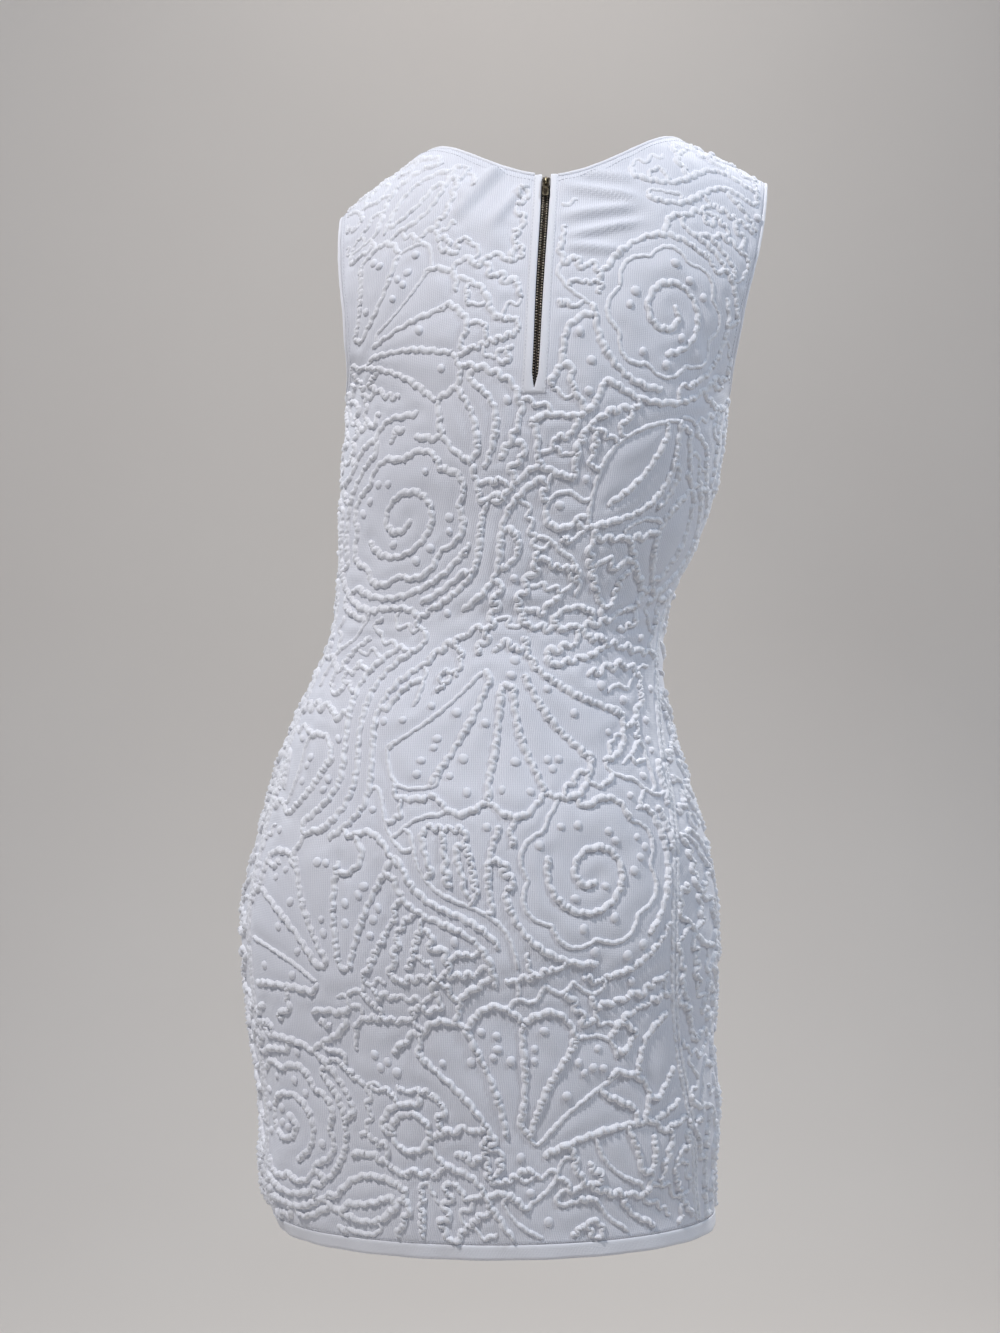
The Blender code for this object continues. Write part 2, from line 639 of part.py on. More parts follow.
def rounded(x, low, high, cut):
    """A box outline with its corners cut."""
    return [(-x, low + cut), (-x + cut, low), (x - cut, low), (x, low + cut),
            (x, high - cut), (x - cut, high), (-x + cut, high), (-x, high - cut)]


def zip_slider(finish, collection, cutters):
    """The slider's body with the bridge that holds the pull tab."""
    x, y = SLIDER_HALF
    low, high = SLIDER_DEPTH
    body = flat_outline("zip_slider", [rounded(x, -y, y, 0.9)], high - low)
    body.transform(Matrix.Translation((0, 0, (low + high) / 2000)))
    foot, crown = high - 0.4, high + BRIDGE_HEIGHT
    arch = [(-BRIDGE_REACH, foot), (BRIDGE_REACH, foot), (BRIDGE_REACH, crown - 1), (BRIDGE_REACH - 1, crown),
            (1 - BRIDGE_REACH, crown), (-BRIDGE_REACH, crown - 1)]
    inner = BRIDGE_REACH - BRIDGE_BAR
    hole = [(-inner, high), (inner, high), (inner, crown - BRIDGE_BAR - 0.5), (inner - 0.5, crown - BRIDGE_BAR),
            (0.5 - inner, crown - BRIDGE_BAR), (-inner, crown - BRIDGE_BAR - 0.5)]
    bridge = flat_outline("zip_bridge", [arch, hole], 2 * BRIDGE_HALF)
    bridge.transform(Matrix(((0, 0, 1, 0), (1, 0, 0, 0), (0, 1, 0, 0), (0, 0, 0, 1))))
    place = slider_frame()
    made = add_object("zip_slider", body, finish, collection)
    made.matrix_world = place
    cutter = add_object("zip_bridge", bridge, finish, cutters)
    cutter.matrix_world = place
    cutter.hide_render = True
    cutter.display_type = "WIRE"
    join = made.modifiers.new("bridge", "BOOLEAN")
    join.operation = "UNION"
    join.object = cutter
    return made


def zip_pull(finish, collection):
    """The pull tab, its origin on its hinge line inside the bridge."""
    bar = PULL_THICK / 2
    outer = [(-PULL_HALF, 3 - PULL_LENGTH), (1.2 - PULL_HALF, -PULL_LENGTH), (PULL_HALF - 1.2, -PULL_LENGTH),
             (PULL_HALF, 3 - PULL_LENGTH), (PULL_HALF, -1), (PULL_HALF - 0.7, bar), (0.7 - PULL_HALF, bar),
             (-PULL_HALF, -1)]
    hole = rounded(PULL_HOLE, -6.4, -bar, 0.4)
    plate = flat_outline("zip_pull", [outer, hole], PULL_THICK)
    made = add_object("zip_pull", plate, finish, collection)
    y, z = HINGE
    made.matrix_world = slider_frame() @ Matrix.Translation((0, y / 1000, z / 1000))
    return made


def build():
    for old in list(bpy.data.objects):
        bpy.data.objects.remove(old)
    dress = bpy.data.collections.new("knit_dress")
    cutters = bpy.data.collections.new("cutters")
    for collection in (dress, cutters):
        bpy.context.scene.collection.children.link(collection)
    knit = material("white_knit", (0.80, 0.81, 0.84), 0.85)
    plain = material("plain_knit", (0.82, 0.83, 0.86), 0.8)
    tape = material("zip_tape", (0.12, 0.09, 0.07), 0.9)
    brass = material("antique_brass", (0.20, 0.13, 0.07), 0.4, 1.0)

    dress_panel("back", BACK_LAYOUT, knit, dress)
    dress_panel("front", FRONT_LAYOUT, knit, dress)
    hem_band(plain, dress)
    neck_binding(plain, dress)
    armhole_binding("armhole_binding_left", 1, plain, dress)
    armhole_binding("armhole_binding_right", -1, plain, dress)
    placket(plain, dress)
    foot = PLACKET_BOTTOM + 0.001
    head = float(neck_edge("back", 0)) - 0.0002
    zip_strip("zip_tape_left", TAPE_INNER, TAPE_OUTER, -0.0024, -0.0015, foot, head, tape, dress)
    zip_strip("zip_tape_right", -TAPE_OUTER, -TAPE_INNER, -0.0024, -0.0015, foot, head, tape, dress)
    slider_foot = float(neck_edge("back", 0)) - SLIDER_DROP - SLIDER_HALF[1] / 1000 - SEAM_GAP
    zip_strip("zip_chain", -CHAIN_HALF, CHAIN_HALF, -0.0029, -0.0015, foot, slider_foot, brass, dress)
    zip_slider(brass, dress, cutters)
    zip_pull(brass, dress)


build()
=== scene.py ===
"""The looks of a white sleeveless knit dress with raised rippled cords, worn and seen from behind.

The cloth is laid out flat as (u, v) in metres: u runs round from the centre line towards +X, v runs up from the
bottom of the hem. cloth() carries a flat point onto the worn shape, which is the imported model's own.
"""

import math

import bmesh
import bpy
import numpy as np
from mathutils import Matrix, Vector


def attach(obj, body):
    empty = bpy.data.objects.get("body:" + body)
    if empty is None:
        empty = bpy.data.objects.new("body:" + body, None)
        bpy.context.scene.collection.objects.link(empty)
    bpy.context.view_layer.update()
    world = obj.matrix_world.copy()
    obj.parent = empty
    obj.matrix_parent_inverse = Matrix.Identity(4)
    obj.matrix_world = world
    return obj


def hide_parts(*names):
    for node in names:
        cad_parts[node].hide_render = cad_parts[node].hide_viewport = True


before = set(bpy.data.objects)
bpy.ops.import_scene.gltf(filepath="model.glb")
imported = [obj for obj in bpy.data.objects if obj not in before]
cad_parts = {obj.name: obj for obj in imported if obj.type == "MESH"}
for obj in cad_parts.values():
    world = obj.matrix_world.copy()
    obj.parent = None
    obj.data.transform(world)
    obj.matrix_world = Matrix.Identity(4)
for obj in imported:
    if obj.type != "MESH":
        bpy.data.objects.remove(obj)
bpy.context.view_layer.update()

# ---- The dress's own sizes ----------------------------------------------------------------------

PANELS = ("back", "front")
LENGTH = 0.8900
WALL = 0.0018
SEAM_GAP = 0.0003
HEM_BAND = 0.012
BEAD_RADIUS = 0.0016
BINDING_HALF = (0.0017, 0.0016)  # half a bound edge's width and thickness
FIGURE_COLUMNS = ("height", "centre", "half_width", "back", "front", "tilt", "seam_left", "seam_right")
FIGURE = (
    (0.000, 0.0455, 0.1785, 0.104, 0.101, 0.000, 14, 24),  # hem
    (0.028, 0.0524, 0.1851, 0.106, 0.103, 0.000, 15, 26),
    (0.085, 0.0520, 0.1875, 0.111, 0.106, 0.000, 16, 30),
    (0.167, 0.0580, 0.1905, 0.118, 0.108, 0.000, 18, 36),
    (0.250, 0.0600, 0.1955, 0.126, 0.107, 0.000, 18, 38),  # hip
    (0.330, 0.0588, 0.1810, 0.121, 0.105, 0.000, 16, 32),
    (0.410, 0.0580, 0.1565, 0.103, 0.101, 0.000, 14, 24),
    (0.495, 0.0440, 0.1360, 0.087, 0.095, 0.000, 10, 14),  # waist
    (0.560, 0.0285, 0.1475, 0.093, 0.101, 0.000, 6, 8),
    (0.625, 0.0175, 0.1555, 0.103, 0.118, 0.000, 2, 3),
    (0.680, 0.0125, 0.1570, 0.109, 0.127, 0.000, 0, 0),  # underarm
    (0.749, 0.0087, 0.1770, 0.109, 0.127, -0.025, 0, 0),
    (0.819, 0.0040, 0.1900, 0.109, 0.127, -0.036, 0, 0),
    (0.914, -0.0008, 0.2000, 0.109, 0.127, -0.040, 0, 0),  # shoulder
)
UNDERARM = 0.680
YOKE_RISE = 0.21
YOKE_DEPTH = 0.07
BACK_ROUND = 0.85
CHEST_ROUND = 1.6
SHOULDER_PEAK = 0.0080
SHOULDER_SLOPE = 0.138
SHOULDER_LEAN = 0.020  # how much steeper the shoulder falls on the +X side
SHOULDER_START = 0.475
SHOULDER_SOFT = 0.12
DEPTH_SHARE = 0.62
NECK_HALF = 0.113
NECK_LINE = {"back": (0.0730, 1.75), "front": (0.108, 2.2)}
ARMHOLE = {"back": (62.0, 60.0), "front": (58.0, 60.0)}
ARMHOLE_LOW = 0.45
ZIP_U = 0.0045
PLACKET_HALF = 0.0094
PLACKET_BOTTOM = 0.6685
SLIT = ((0.6730, 0.0002), (0.6840, 0.0024), (0.7100, 0.0026), (0.7450, 0.0029), (0.8350, 0.0034))
NOTCH = PLACKET_HALF + SEAM_GAP

CORD_CLEAR = 0.0095  # between the points of two main cords
EDGE_CLEAR = 0.0075  # from a main cord to the panel's edges
CORD_LEAST = 0.0252  # the shortest main cord that is kept
FLAT_STEP = 0.002  # from one point of a drawn line to the next

SHELL_STEP = 0.0030  # spacing of the ground's points
CORD_PACE = {"back": 0.00108, "front": 0.00140}  # spacing of the rows of points along a cord
# A row for each kind of cord: half its width, its height, the pitch and depth of its ripples, and the way it sways.
CORDS = {
    "rope": (0.0031, 0.0038, 0.0052, 0.60, 0.0007),
    "curl": (0.0025, 0.0035, 0.0044, 0.50, 0.0004),
    "line": (0.0022, 0.0024, 0.0047, 0.42, 0.0003),
    "seam": (0.0022, 0.0017, 0.0042, 0.70, 0.0005),
}
# How near the filling cords come to each kind of edge.
FILL_EDGES = {"side": 0.0036, "neck": 0.0085, "hem": 0.0040, "zip": 0.0042}
FILL_CLEAR = 0.0073  # between the middle of a filling cord and its neighbour's
CURL_CLEAR = 0.0054  # the same beside a tight curl
OWN_CLEAR = 0.0058  # how near a line that grows may come to itself
JOIN_REACH = 0.0125  # how far an end runs on to meet another cord
PUFF = ((0.30, 0.50, 0.62, 0.76), (1.22, 1.08, 0.95, 0.74))  # the cords stand out less where the back is stretched
DOTS_TOP = 0.79  # plain places above this height hold soft folds and no dots
DOT_TRIES, DOTS_MOST = 4000, 150
SEED = 7
RIPPLE_SEED = SEED + 20
ANY_PHASE = (0, 6.28)

# ---- The worn shape -----------------------------------------------------------------------------

ROWS = dict(zip(FIGURE_COLUMNS, np.array(FIGURE).T))


def column(name, v):
    """A column of the figure at height v, as a smooth curve through its rows."""
    xs, ys = ROWS["height"], ROWS[name]
    slope = np.gradient(ys, xs)
    i = np.clip(np.searchsorted(xs, v) - 1, 0, len(xs) - 2)
    step = xs[i + 1] - xs[i]
    t = np.clip((v - xs[i]) / step, 0, 1)
    rise = (ys[i + 1] - ys[i]) * t * t * (3 - 2 * t)
    ends = step * (slope[i] * t * (1 - t) ** 2 - slope[i + 1] * t * t * (1 - t))
    return ys[i] + rise + ends


def running_length(across, deep, last, count=400):
    """The angles of an ellipse from its first axis on, and the length of its line up to each."""
    angle = np.linspace(0, last, count)
    pace = np.hypot(across * np.cos(angle), deep * np.sin(angle))
    length = np.concatenate([[0], np.cumsum((pace[1:] + pace[:-1]) / 2 * np.diff(angle))])
    return angle, length


ROUND_ANGLE, ROUND_LENGTH = running_length(1, DEPTH_SHARE, math.radians(150))
YOKE_ANGLE, YOKE_LENGTH = running_length(YOKE_RISE, YOKE_DEPTH, math.pi / 2)
TOP = UNDERARM + YOKE_LENGTH[-1]
SHOULDER_SEAM = TOP - SEAM_GAP


def around(degrees, v):
    """The u of a place that many degrees round from the centre line, at height v."""
    return column("half_width", v) * np.interp(np.radians(degrees), ROUND_ANGLE, ROUND_LENGTH)


def shoulder_line(across):
    t = np.abs(across) - SHOULDER_START
    slope = SHOULDER_SLOPE + SHOULDER_LEAN * across
    return SHOULDER_PEAK - slope * (t + np.sqrt(t * t + SHOULDER_SOFT**2)) / 2


def cloth_face(panel, u, v):
    half, centre = column("half_width", v), column("centre", v)
    back, front = column("back", v), column("front", v)
    own, other = (back, front) if panel == "back" else (front, back)
    angle = np.interp(np.abs(u) / half, ROUND_LENGTH, ROUND_ANGLE) * np.sign(u)
    yoke = np.interp(v - UNDERARM, YOKE_LENGTH, YOKE_ANGLE)
    roundness = BACK_ROUND if panel == "back" else CHEST_ROUND
    fall = np.cos(yoke) ** (1 + (roundness - 1) * np.cos(yoke))
    deep = np.where(np.cos(angle) >= 0, own, other) * np.cos(angle) * fall
    side = half * np.sin(angle)
    low = np.minimum(v, UNDERARM) - LENGTH
    rise = (shoulder_line(np.sin(angle)) + LENGTH - UNDERARM) * np.sin(yoke)
    z = low + rise + column("tilt", v) * side
    return np.stack([centre + side, deep if panel == "back" else -deep, z], -1)


def cloth_frame(panel, u, v):
    """World points of the cloth at (u, v), and the unit vectors along u, along v and out of it."""
    u, v = np.broadcast_arrays(np.asarray(u, float), np.asarray(v, float))
    nudge = 0.0008
    v_high, v_low = np.minimum(v + nudge, TOP - 1e-5), np.minimum(v - nudge, TOP - 2 * nudge)
    along = cloth_face(panel, u + nudge, v) - cloth_face(panel, u - nudge, v)
    up = cloth_face(panel, u, v_high) - cloth_face(panel, u, v_low)
    normal = np.cross(along, up) * (-1 if panel == "back" else 1)
    units = [a / np.linalg.norm(a, axis=-1, keepdims=True) for a in (along, up, normal)]
    return cloth_face(panel, u, v), *units


def cloth(panel, u, v, out=0.0):
    """World points of the cloth at (u, v), moved out by the given distance."""
    here, _, _, normal = cloth_frame(panel, u, v)
    return here + normal * np.asarray(out, float)[..., None]


def side_edge(panel, side, v):
    """The u of a panel's side edge or armhole edge at height v. side is 1 towards +X, -1 towards -X."""
    sign = 1 if panel == "back" else -1
    behind = column("seam_left" if side > 0 else "seam_right", np.minimum(v, UNDERARM))
    narrow, top = ARMHOLE[panel]
    share = np.clip((v - UNDERARM) / (TOP - UNDERARM), 0, 1)
    low = np.clip(share / ARMHOLE_LOW, 0, 1)
    high = np.clip((share - ARMHOLE_LOW) / (1 - ARMHOLE_LOW), 0, 1)
    curve = 90 - (90 - narrow) * np.sqrt(1 - (1 - low) ** 2) + (top - narrow) * high * high
    degrees = np.where(v <= UNDERARM, 90 - sign * behind, curve)
    return side * (around(degrees, v) - SEAM_GAP / 2)


def neck_edge(panel, u):
    drop, roundness = NECK_LINE[panel]
    return SHOULDER_SEAM - drop * (1 - np.minimum(np.abs(u) / NECK_HALF, 1) ** roundness)


def inside(panel, points, side, neck, hem, by_zip):
    """True for each (u, v) that lies on the panel, at least that far from each kind of edge."""
    u, v = points[:, 0], points[:, 1]
    level = np.minimum(v, TOP)
    side = np.where(v > UNDERARM, np.maximum(side, 0.0055), side)
    on = (v > HEM_BAND + hem) & (v < neck_edge(panel, u) - neck)
    on &= (u < side_edge(panel, 1, level) - side) & (u > side_edge(panel, -1, level) + side)
    if panel == "back":
        on &= (np.abs(u - ZIP_U) > NOTCH + by_zip) | (v < PLACKET_BOTTOM - by_zip)
    return on


# ---- The relief, drawn flat ---------------------------------------------------------------------


def bow(start, end, bulge, count=24):
    """A line between two points that bows to its left by the bulge, a share of its length."""
    start, end = np.array(start, float), np.array(end, float)
    t = np.linspace(0, 1, count)[:, None]
    across = np.array([start[1] - end[1], end[0] - start[0]])
    return start + (end - start) * t + across * bulge * np.sin(math.pi * t)


def fan(size):
    """Ribs that spread from one point, under a scalloped edge."""
    turns = np.radians(np.linspace(-56, 56, 6))
    tips = [(size * math.sin(a), size * math.cos(a)) for a in turns]
    ribs = [bow((x * 0.2, y * 0.2), (x * 0.9, y * 0.9), 0.05 * np.sign(x)) for x, y in tips]
    return ribs + [bow(a, b, 0.34) for a, b in zip(tips[:-1], tips[1:])]


def leaf(size):
    """A pointed leaf with a second, smaller curve inside it."""
    low, high = (0, -size / 2), (0, size / 2)
    return [bow(low, high, 0.26), bow(high, low, 0.26), bow((0, -size * 0.3), (0, size * 0.34), 0.09)]


def circle(radius, turns):
    """A line at that distance from the middle, which may change from angle to angle."""
    return np.stack([radius * np.cos(turns), radius * np.sin(turns)], -1)


def rosette(size):
    """A spiral in a scalloped ring."""
    t = np.linspace(1.8, 3.4 * math.pi, 60)
    turns = np.linspace(0, 2 * math.pi, 91)
    return [circle(size * 0.058 * t, t), circle(size * (0.84 + 0.14 * np.abs(np.sin(4 * turns))), turns)]


def sweep(size):
    """Three long cords that run side by side in an S."""
    t = np.linspace(-1, 1, 40)
    return [
        np.stack([size * (0.16 * np.sin(math.pi * t) + shift), size * t * (1 - 0.5 * abs(shift))], -1)
        for shift in (-0.16, 0, 0.16)
    ]


def garland(size):
    """A hanging line of small scallops."""
    t = np.linspace(-1, 1, 80)
    return [np.stack([size * t, size * (0.35 * t * t + 0.2 * np.abs(np.sin(2 * math.pi * t)))], -1)]


def ring(size):
    return [circle(size, np.linspace(0, 2 * math.pi, 25))]


MOTIFS = {"fan": fan, "leaf": leaf, "rosette": rosette, "sweep": sweep, "garland": garland, "ring": ring}
# The motifs that keep the filling cords out, and how far round its middle a round one does, as a share of its size.
MOTIF_QUIET = {"fan": None, "leaf": None, "rosette": 0.8, "ring": 0.9}
# The motifs of each panel: kind, u, v, size and turn in degrees.
LAYOUT = {
    "back": (
        ("fan", -0.012, 0.470, 0.115, 172),
        ("rosette", -0.100, 0.735, 0.052, 20),
        ("rosette", 0.098, 0.575, 0.054, 80),
        ("fan", 0.168, 0.712, 0.098, 62),
        ("sweep", 0.098, 0.400, 0.085, 28),
        ("rosette", -0.088, 0.300, 0.060, 130),
        ("fan", 0.110, 0.205, 0.115, -35),
        ("leaf", -0.085, 0.610, 0.110, 38),
        ("leaf", -0.140, 0.560, 0.095, 12),
        ("fan", -0.020, 0.075, 0.112, 18),
        ("rosette", 0.172, 0.098, 0.050, 0),
        ("sweep", 0.020, 0.270, 0.070, -40),
        ("leaf", 0.055, 0.650, 0.085, -25),
        ("garland", -0.095, 0.430, 0.050, -12),
        ("leaf", -0.155, 0.150, 0.110, 25),
        ("leaf", -0.110, 0.090, 0.090, -30),
        ("garland", 0.075, 0.770, 0.040, 15),
        ("sweep", -0.120, 0.850, 0.055, 70),
        ("fan", 0.180, 0.330, 0.080, 80),
        ("leaf", 0.110, 0.840, 0.070, 60),
        ("ring", -0.030, 0.580, 0.014, 0),
        ("ring", 0.060, 0.100, 0.015, 0),
        ("leaf", 0.095, 0.045, 0.070, 75),
        ("garland", -0.050, 0.215, 0.045, 165),
        ("sweep", 0.022, 0.555, 0.058, 20),
    ),
    "front": (
        ("fan", 0.010, 0.640, 0.112, 168),
        ("rosette", 0.105, 0.660, 0.054, 10),
        ("rosette", -0.115, 0.590, 0.054, 70),
        ("fan", -0.140, 0.440, 0.105, 24),
        ("fan", 0.030, 0.300, 0.118, -16),
        ("rosette", -0.090, 0.260, 0.060, 40),
        ("sweep", 0.105, 0.500, 0.085, -22),
        ("rosette", 0.165, 0.300, 0.055, 100),
        ("fan", -0.185, 0.085, 0.115, -20),
        ("leaf", -0.020, 0.430, 0.105, -38),
        ("leaf", -0.055, 0.120, 0.115, 30),
        ("leaf", 0.010, 0.110, 0.105, 8),
        ("fan", 0.130, 0.060, 0.112, 22),
        ("sweep", 0.140, 0.800, 0.060, 60),
        ("leaf", -0.120, 0.720, 0.090, 30),
        ("garland", -0.095, 0.800, 0.040, 10),
        ("leaf", -0.190, 0.300, 0.090, 20),
        ("garland", 0.070, 0.215, 0.050, 170),
        ("leaf", 0.215, 0.180, 0.095, -20),
        ("ring", -0.030, 0.700, 0.014, 0),
        ("leaf", 0.040, 0.750, 0.085, 70),
        ("garland", -0.130, 0.365, 0.050, -15),
    ),
}


def pairs(rows, columns):
    """Every pair of a row and a column, as a grid."""
    return np.stack(np.meshgrid(rows, columns, indexing="ij"), -1)


def stamp(reach):
    """The steps to each cell of a square that reaches so many cells from its middle."""
    return pairs(*[np.arange(-reach, reach + 1)] * 2).reshape(-1, 2)


def travelled(line):
    """The length of a line up to each of its points."""
    return np.concatenate([[0], np.cumsum(np.linalg.norm(np.diff(line, axis=0), axis=1))])


def even_steps(line, step):
    run = travelled(line)
    places = np.linspace(0, run[-1], max(2, round(run[-1] / step) + 1))
    return np.stack([np.interp(places, run, line[:, 0]), np.interp(places, run, line[:, 1])], -1)


def kept_runs(line, keep):
    """The stretches of a line whose points are all kept."""
    breaks = np.flatnonzero(np.diff(keep.astype(int))) + 1
    return [part for part, on in zip(np.split(line, breaks), np.split(keep, breaks)) if on[0]]


def spun(turn):
    angle = math.radians(turn)
    return np.array([[math.cos(angle), math.sin(angle)], [-math.sin(angle), math.cos(angle)]])


def in_oval(places, half_u, half_v):
    return ((places / (half_u, half_v)) ** 2).sum(axis=-1) < 1


class FlatMap:
    """A fine grid over the flat panel that remembers where cords may not come."""

    CELL = 0.001
    LOW = np.array([-0.36, 0.0])
    SHAPE = (720, 930)

    def __init__(self, panel):
        self.panel = panel
        self.places = self.LOW + (pairs(*map(np.arange, self.SHAPE)) + 0.5) * self.CELL
        near = (FILL_EDGES[edge] for edge in ("side", "neck", "hem", "zip"))
        self.closed = ~inside(panel, self.places.reshape(-1, 2), *near).reshape(self.SHAPE)
        steps = stamp(int(FILL_CLEAR / self.CELL) + 1)
        far = np.hypot(*steps.T) * self.CELL
        self.stamps = {"curl": steps[far < CURL_CLEAR], "other": steps[far < FILL_CLEAR]}

    def cell(self, points):
        return ((points - self.LOW) / self.CELL).astype(int)

    def free(self, point):
        i, j = self.cell(point)
        return 0 <= i < self.SHAPE[0] and 0 <= j < self.SHAPE[1] and not self.closed[i, j]

    def lay(self, line, kind="other"):
        """Closes the cells that are too near a line."""
        marks = (self.cell(line)[:, None] + self.stamps["curl" if kind == "curl" else "other"][None]).reshape(-1, 2)
        marks = np.clip(marks, 0, np.array(self.SHAPE) - 1)
        self.closed[marks[:, 0], marks[:, 1]] = True

    def close_motifs(self, kinds):
        """Closes the insides of the motifs of those kinds."""
        for kind, u, v, size, turn in LAYOUT[self.panel]:
            if kind in kinds:
                local = (self.places - (u, v)) @ spun(turn).T
                far = np.hypot(*np.moveaxis(local, -1, 0))
                if kind == "fan":
                    self.closed |= (far < size) & (local[..., 1] > 0.45 * np.abs(local[..., 0]))
                elif kind == "leaf":
                    self.closed |= in_oval(local, 0.24 * size, 0.5 * size)
                else:
                    self.closed |= far < MOTIF_QUIET[kind] * size

    def close_plain(self, above=0.0):
        """Closes the plain places above that height."""
        for u, v, half_u, half_v in PLAIN[self.panel]:
            if v > above:
                self.closed |= in_oval(self.places - (u, v), half_u, half_v)


def main_cords(panel):
    """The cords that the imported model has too, with the same rule for where each one ends."""
    cords, laid = [], np.empty((0, 2))
    for kind, u, v, size, turn in LAYOUT[panel]:
        for stroke in MOTIFS[kind](size):
            line = even_steps(stroke @ spun(turn) + (u, v), FLAT_STEP)
            keep = inside(panel, line, *[EDGE_CLEAR] * 4)
            if len(laid):
                gaps = np.linalg.norm(line[:, None] - laid[None], axis=-1).min(axis=1)
                keep &= gaps > CORD_CLEAR
            for run in kept_runs(line, keep):
                if len(run) * FLAT_STEP > CORD_LEAST:
                    cords.append(run)
                    laid = np.concatenate([laid, run])
    return cords


def leftward(line):
    """The unit vectors that point to the left of a line."""
    along = np.gradient(line, axis=0)
    along /= np.linalg.norm(along, axis=1, keepdims=True) + 1e-12
    return np.stack([-along[:, 1], along[:, 0]], -1)


def sideways(line, distance):
    """The line moved to its left by a distance, which may change along it."""
    return line + leftward(line) * np.reshape(distance, (-1, 1))


def scalloped(line, pitch, height):
    line, step = even_steps(line, 0.001), 0.001
    return sideways(line, height * np.abs(np.sin(math.pi * np.arange(len(line)) * step / pitch)))


def trimmings(kind, size):
    """Smaller cords round a motif: a scalloped edge round a fan or a leaf, arcs round a rosette."""
    if kind == "fan":
        turns = np.radians(np.linspace(-64, 64, 30))
        return [scalloped(1.09 * size * np.stack([np.sin(turns), np.cos(turns)], -1), 0.013, 0.0035)]
    if kind == "leaf":
        low, high = (0, -0.56 * size), (0, 0.56 * size)
        return [scalloped(bow(*ends, 0.44), 0.012, 0.003) for ends in ((low, high), (high, low))]
    if kind == "rosette":
        arcs = ((10, 1.16), (135, 1.16), (250, 1.16), (80, 1.36), (200, 1.36))
        return [circle(reach * size, np.radians(np.linspace(start, start + 85, 30))) for start, reach in arcs]
    return []


def keep_free(field, line, shortest):
    """The free stretches of a line that are long enough, each laid as it is kept."""
    kept = []
    line = even_steps(line, FLAT_STEP)
    keep = np.array([field.free(point) for point in line])
    for run in kept_runs(line, keep) if keep.any() else []:
        if len(run) * FLAT_STEP > shortest and all(field.free(point) for point in run):
            kept.append(run)
            field.lay(run)
    return kept


def wander(field, start, heading, draw, wave, swing, longest):
    """A line that grows from a free place both ways, swinging as it goes, until it meets something."""
    halves = []
    for way in (1, -1):
        place, turn, phase = start.copy(), heading + (math.pi if way < 0 else 0), draw.uniform(*ANY_PHASE)
        bend = draw.uniform(-14, 14)
        points = [start]
        own = np.reshape(halves[0][4:], (-1, 2)) if halves else np.empty((0, 2))
        for step in range(int(longest / 2 / FLAT_STEP)):
            run = step * FLAT_STEP
            now = turn + bend * run + swing * math.sin(2 * math.pi * run / wave + phase)
            place = place + FLAT_STEP * np.array([math.cos(now), math.sin(now)])
            near = np.concatenate([own, points[:-5]]) if len(points) > 5 else own
            if not field.free(place) or (len(near) and np.abs(near - place).max(axis=1).min() < OWN_CLEAR):
                break
            points.append(place)
        halves.append(points)
    return np.array(halves[1][:0:-1] + halves[0])


# How the filling cords run, a row for each kind: its share of the tries, wave and swing of its line, how long
# it may grow and the shortest that is kept, and the kind of cord.
FILL = (
    (0.24, 0.0125, 1.50, 0.150, 0.020, "curl"),  # tight curls
    (0.16, 0.0110, 1.20, 0.100, 0.016, "curl"),  # a crinkle
    (0.18, 0.0190, 1.20, 0.150, 0.024, "rope"),  # squiggles
    (0.14, 0.0140, 0.80, 0.200, 0.032, "rope"),  # scalloped garlands
    (0.16, 0.0700, 0.55, 0.180, 0.032, "rope"),  # long bends
    (0.08, 0.0160, 1.05, 0.060, 0.014, "line"),
    (0.04, 0.0900, 0.40, 0.120, 0.024, "line"),
)
FILL_ROUNDS = 130
FILL_TRIES = 26
FILL_ROOM = 200  # free cells, below which the filling stops
# Places without filling cords: u, v and the half widths of an ellipse.
PLAIN = {
    "back": (
        (-0.036, 0.842, 0.027, 0.026), (0.038, 0.850, 0.024, 0.020), (0.050, 0.812, 0.024, 0.026),
        (-0.044, 0.798, 0.029, 0.024), (-0.040, 0.700, 0.018, 0.024), (-0.150, 0.420, 0.018, 0.034),
        (0.045, 0.500, 0.012, 0.022), (0.070, 0.160, 0.026, 0.022), (-0.140, 0.235, 0.026, 0.020),
        (0.155, 0.520, 0.012, 0.030), (-0.055, 0.032, 0.030, 0.010), (0.150, 0.175, 0.018, 0.016),
        (-0.070, 0.812, 0.024, 0.016), (0.000, 0.345, 0.012, 0.024), (-0.060, 0.385, 0.022, 0.014),
    ),
    "front": (
        (0.000, 0.480, 0.034, 0.026), (-0.060, 0.760, 0.026, 0.022), (0.090, 0.420, 0.022, 0.030),
        (-0.170, 0.200, 0.030, 0.024), (0.060, 0.160, 0.024, 0.022), (0.190, 0.400, 0.020, 0.034),
        (-0.030, 0.040, 0.040, 0.012), (-0.020, 0.560, 0.016, 0.016),
    ),
}


def fill_cords(field, draw):
    """Squiggles, garlands, bends and short lines in what the motifs leave free."""
    cords = []
    shares = np.array([row[0] for row in FILL])
    for _ in range(FILL_ROUNDS):
        spots = np.argwhere(~field.closed)
        if len(spots) < FILL_ROOM:
            break
        for spot in spots[draw.integers(0, len(spots), FILL_TRIES)]:
            start = field.LOW + (spot + 0.5) * field.CELL
            kind = draw.choice(len(FILL), p=shares / shares.sum())
            _, wave, swing, longest, shortest, cord = FILL[kind]
            heading = draw.uniform(0, math.pi)
            if field.free(start):
                line = wander(field, start, heading, draw, wave * draw.uniform(0.85, 1.2), swing, longest)
                if len(line) * FLAT_STEP >= shortest:
                    cords.append((line, cord))
                    field.lay(line, cord)
    return cords


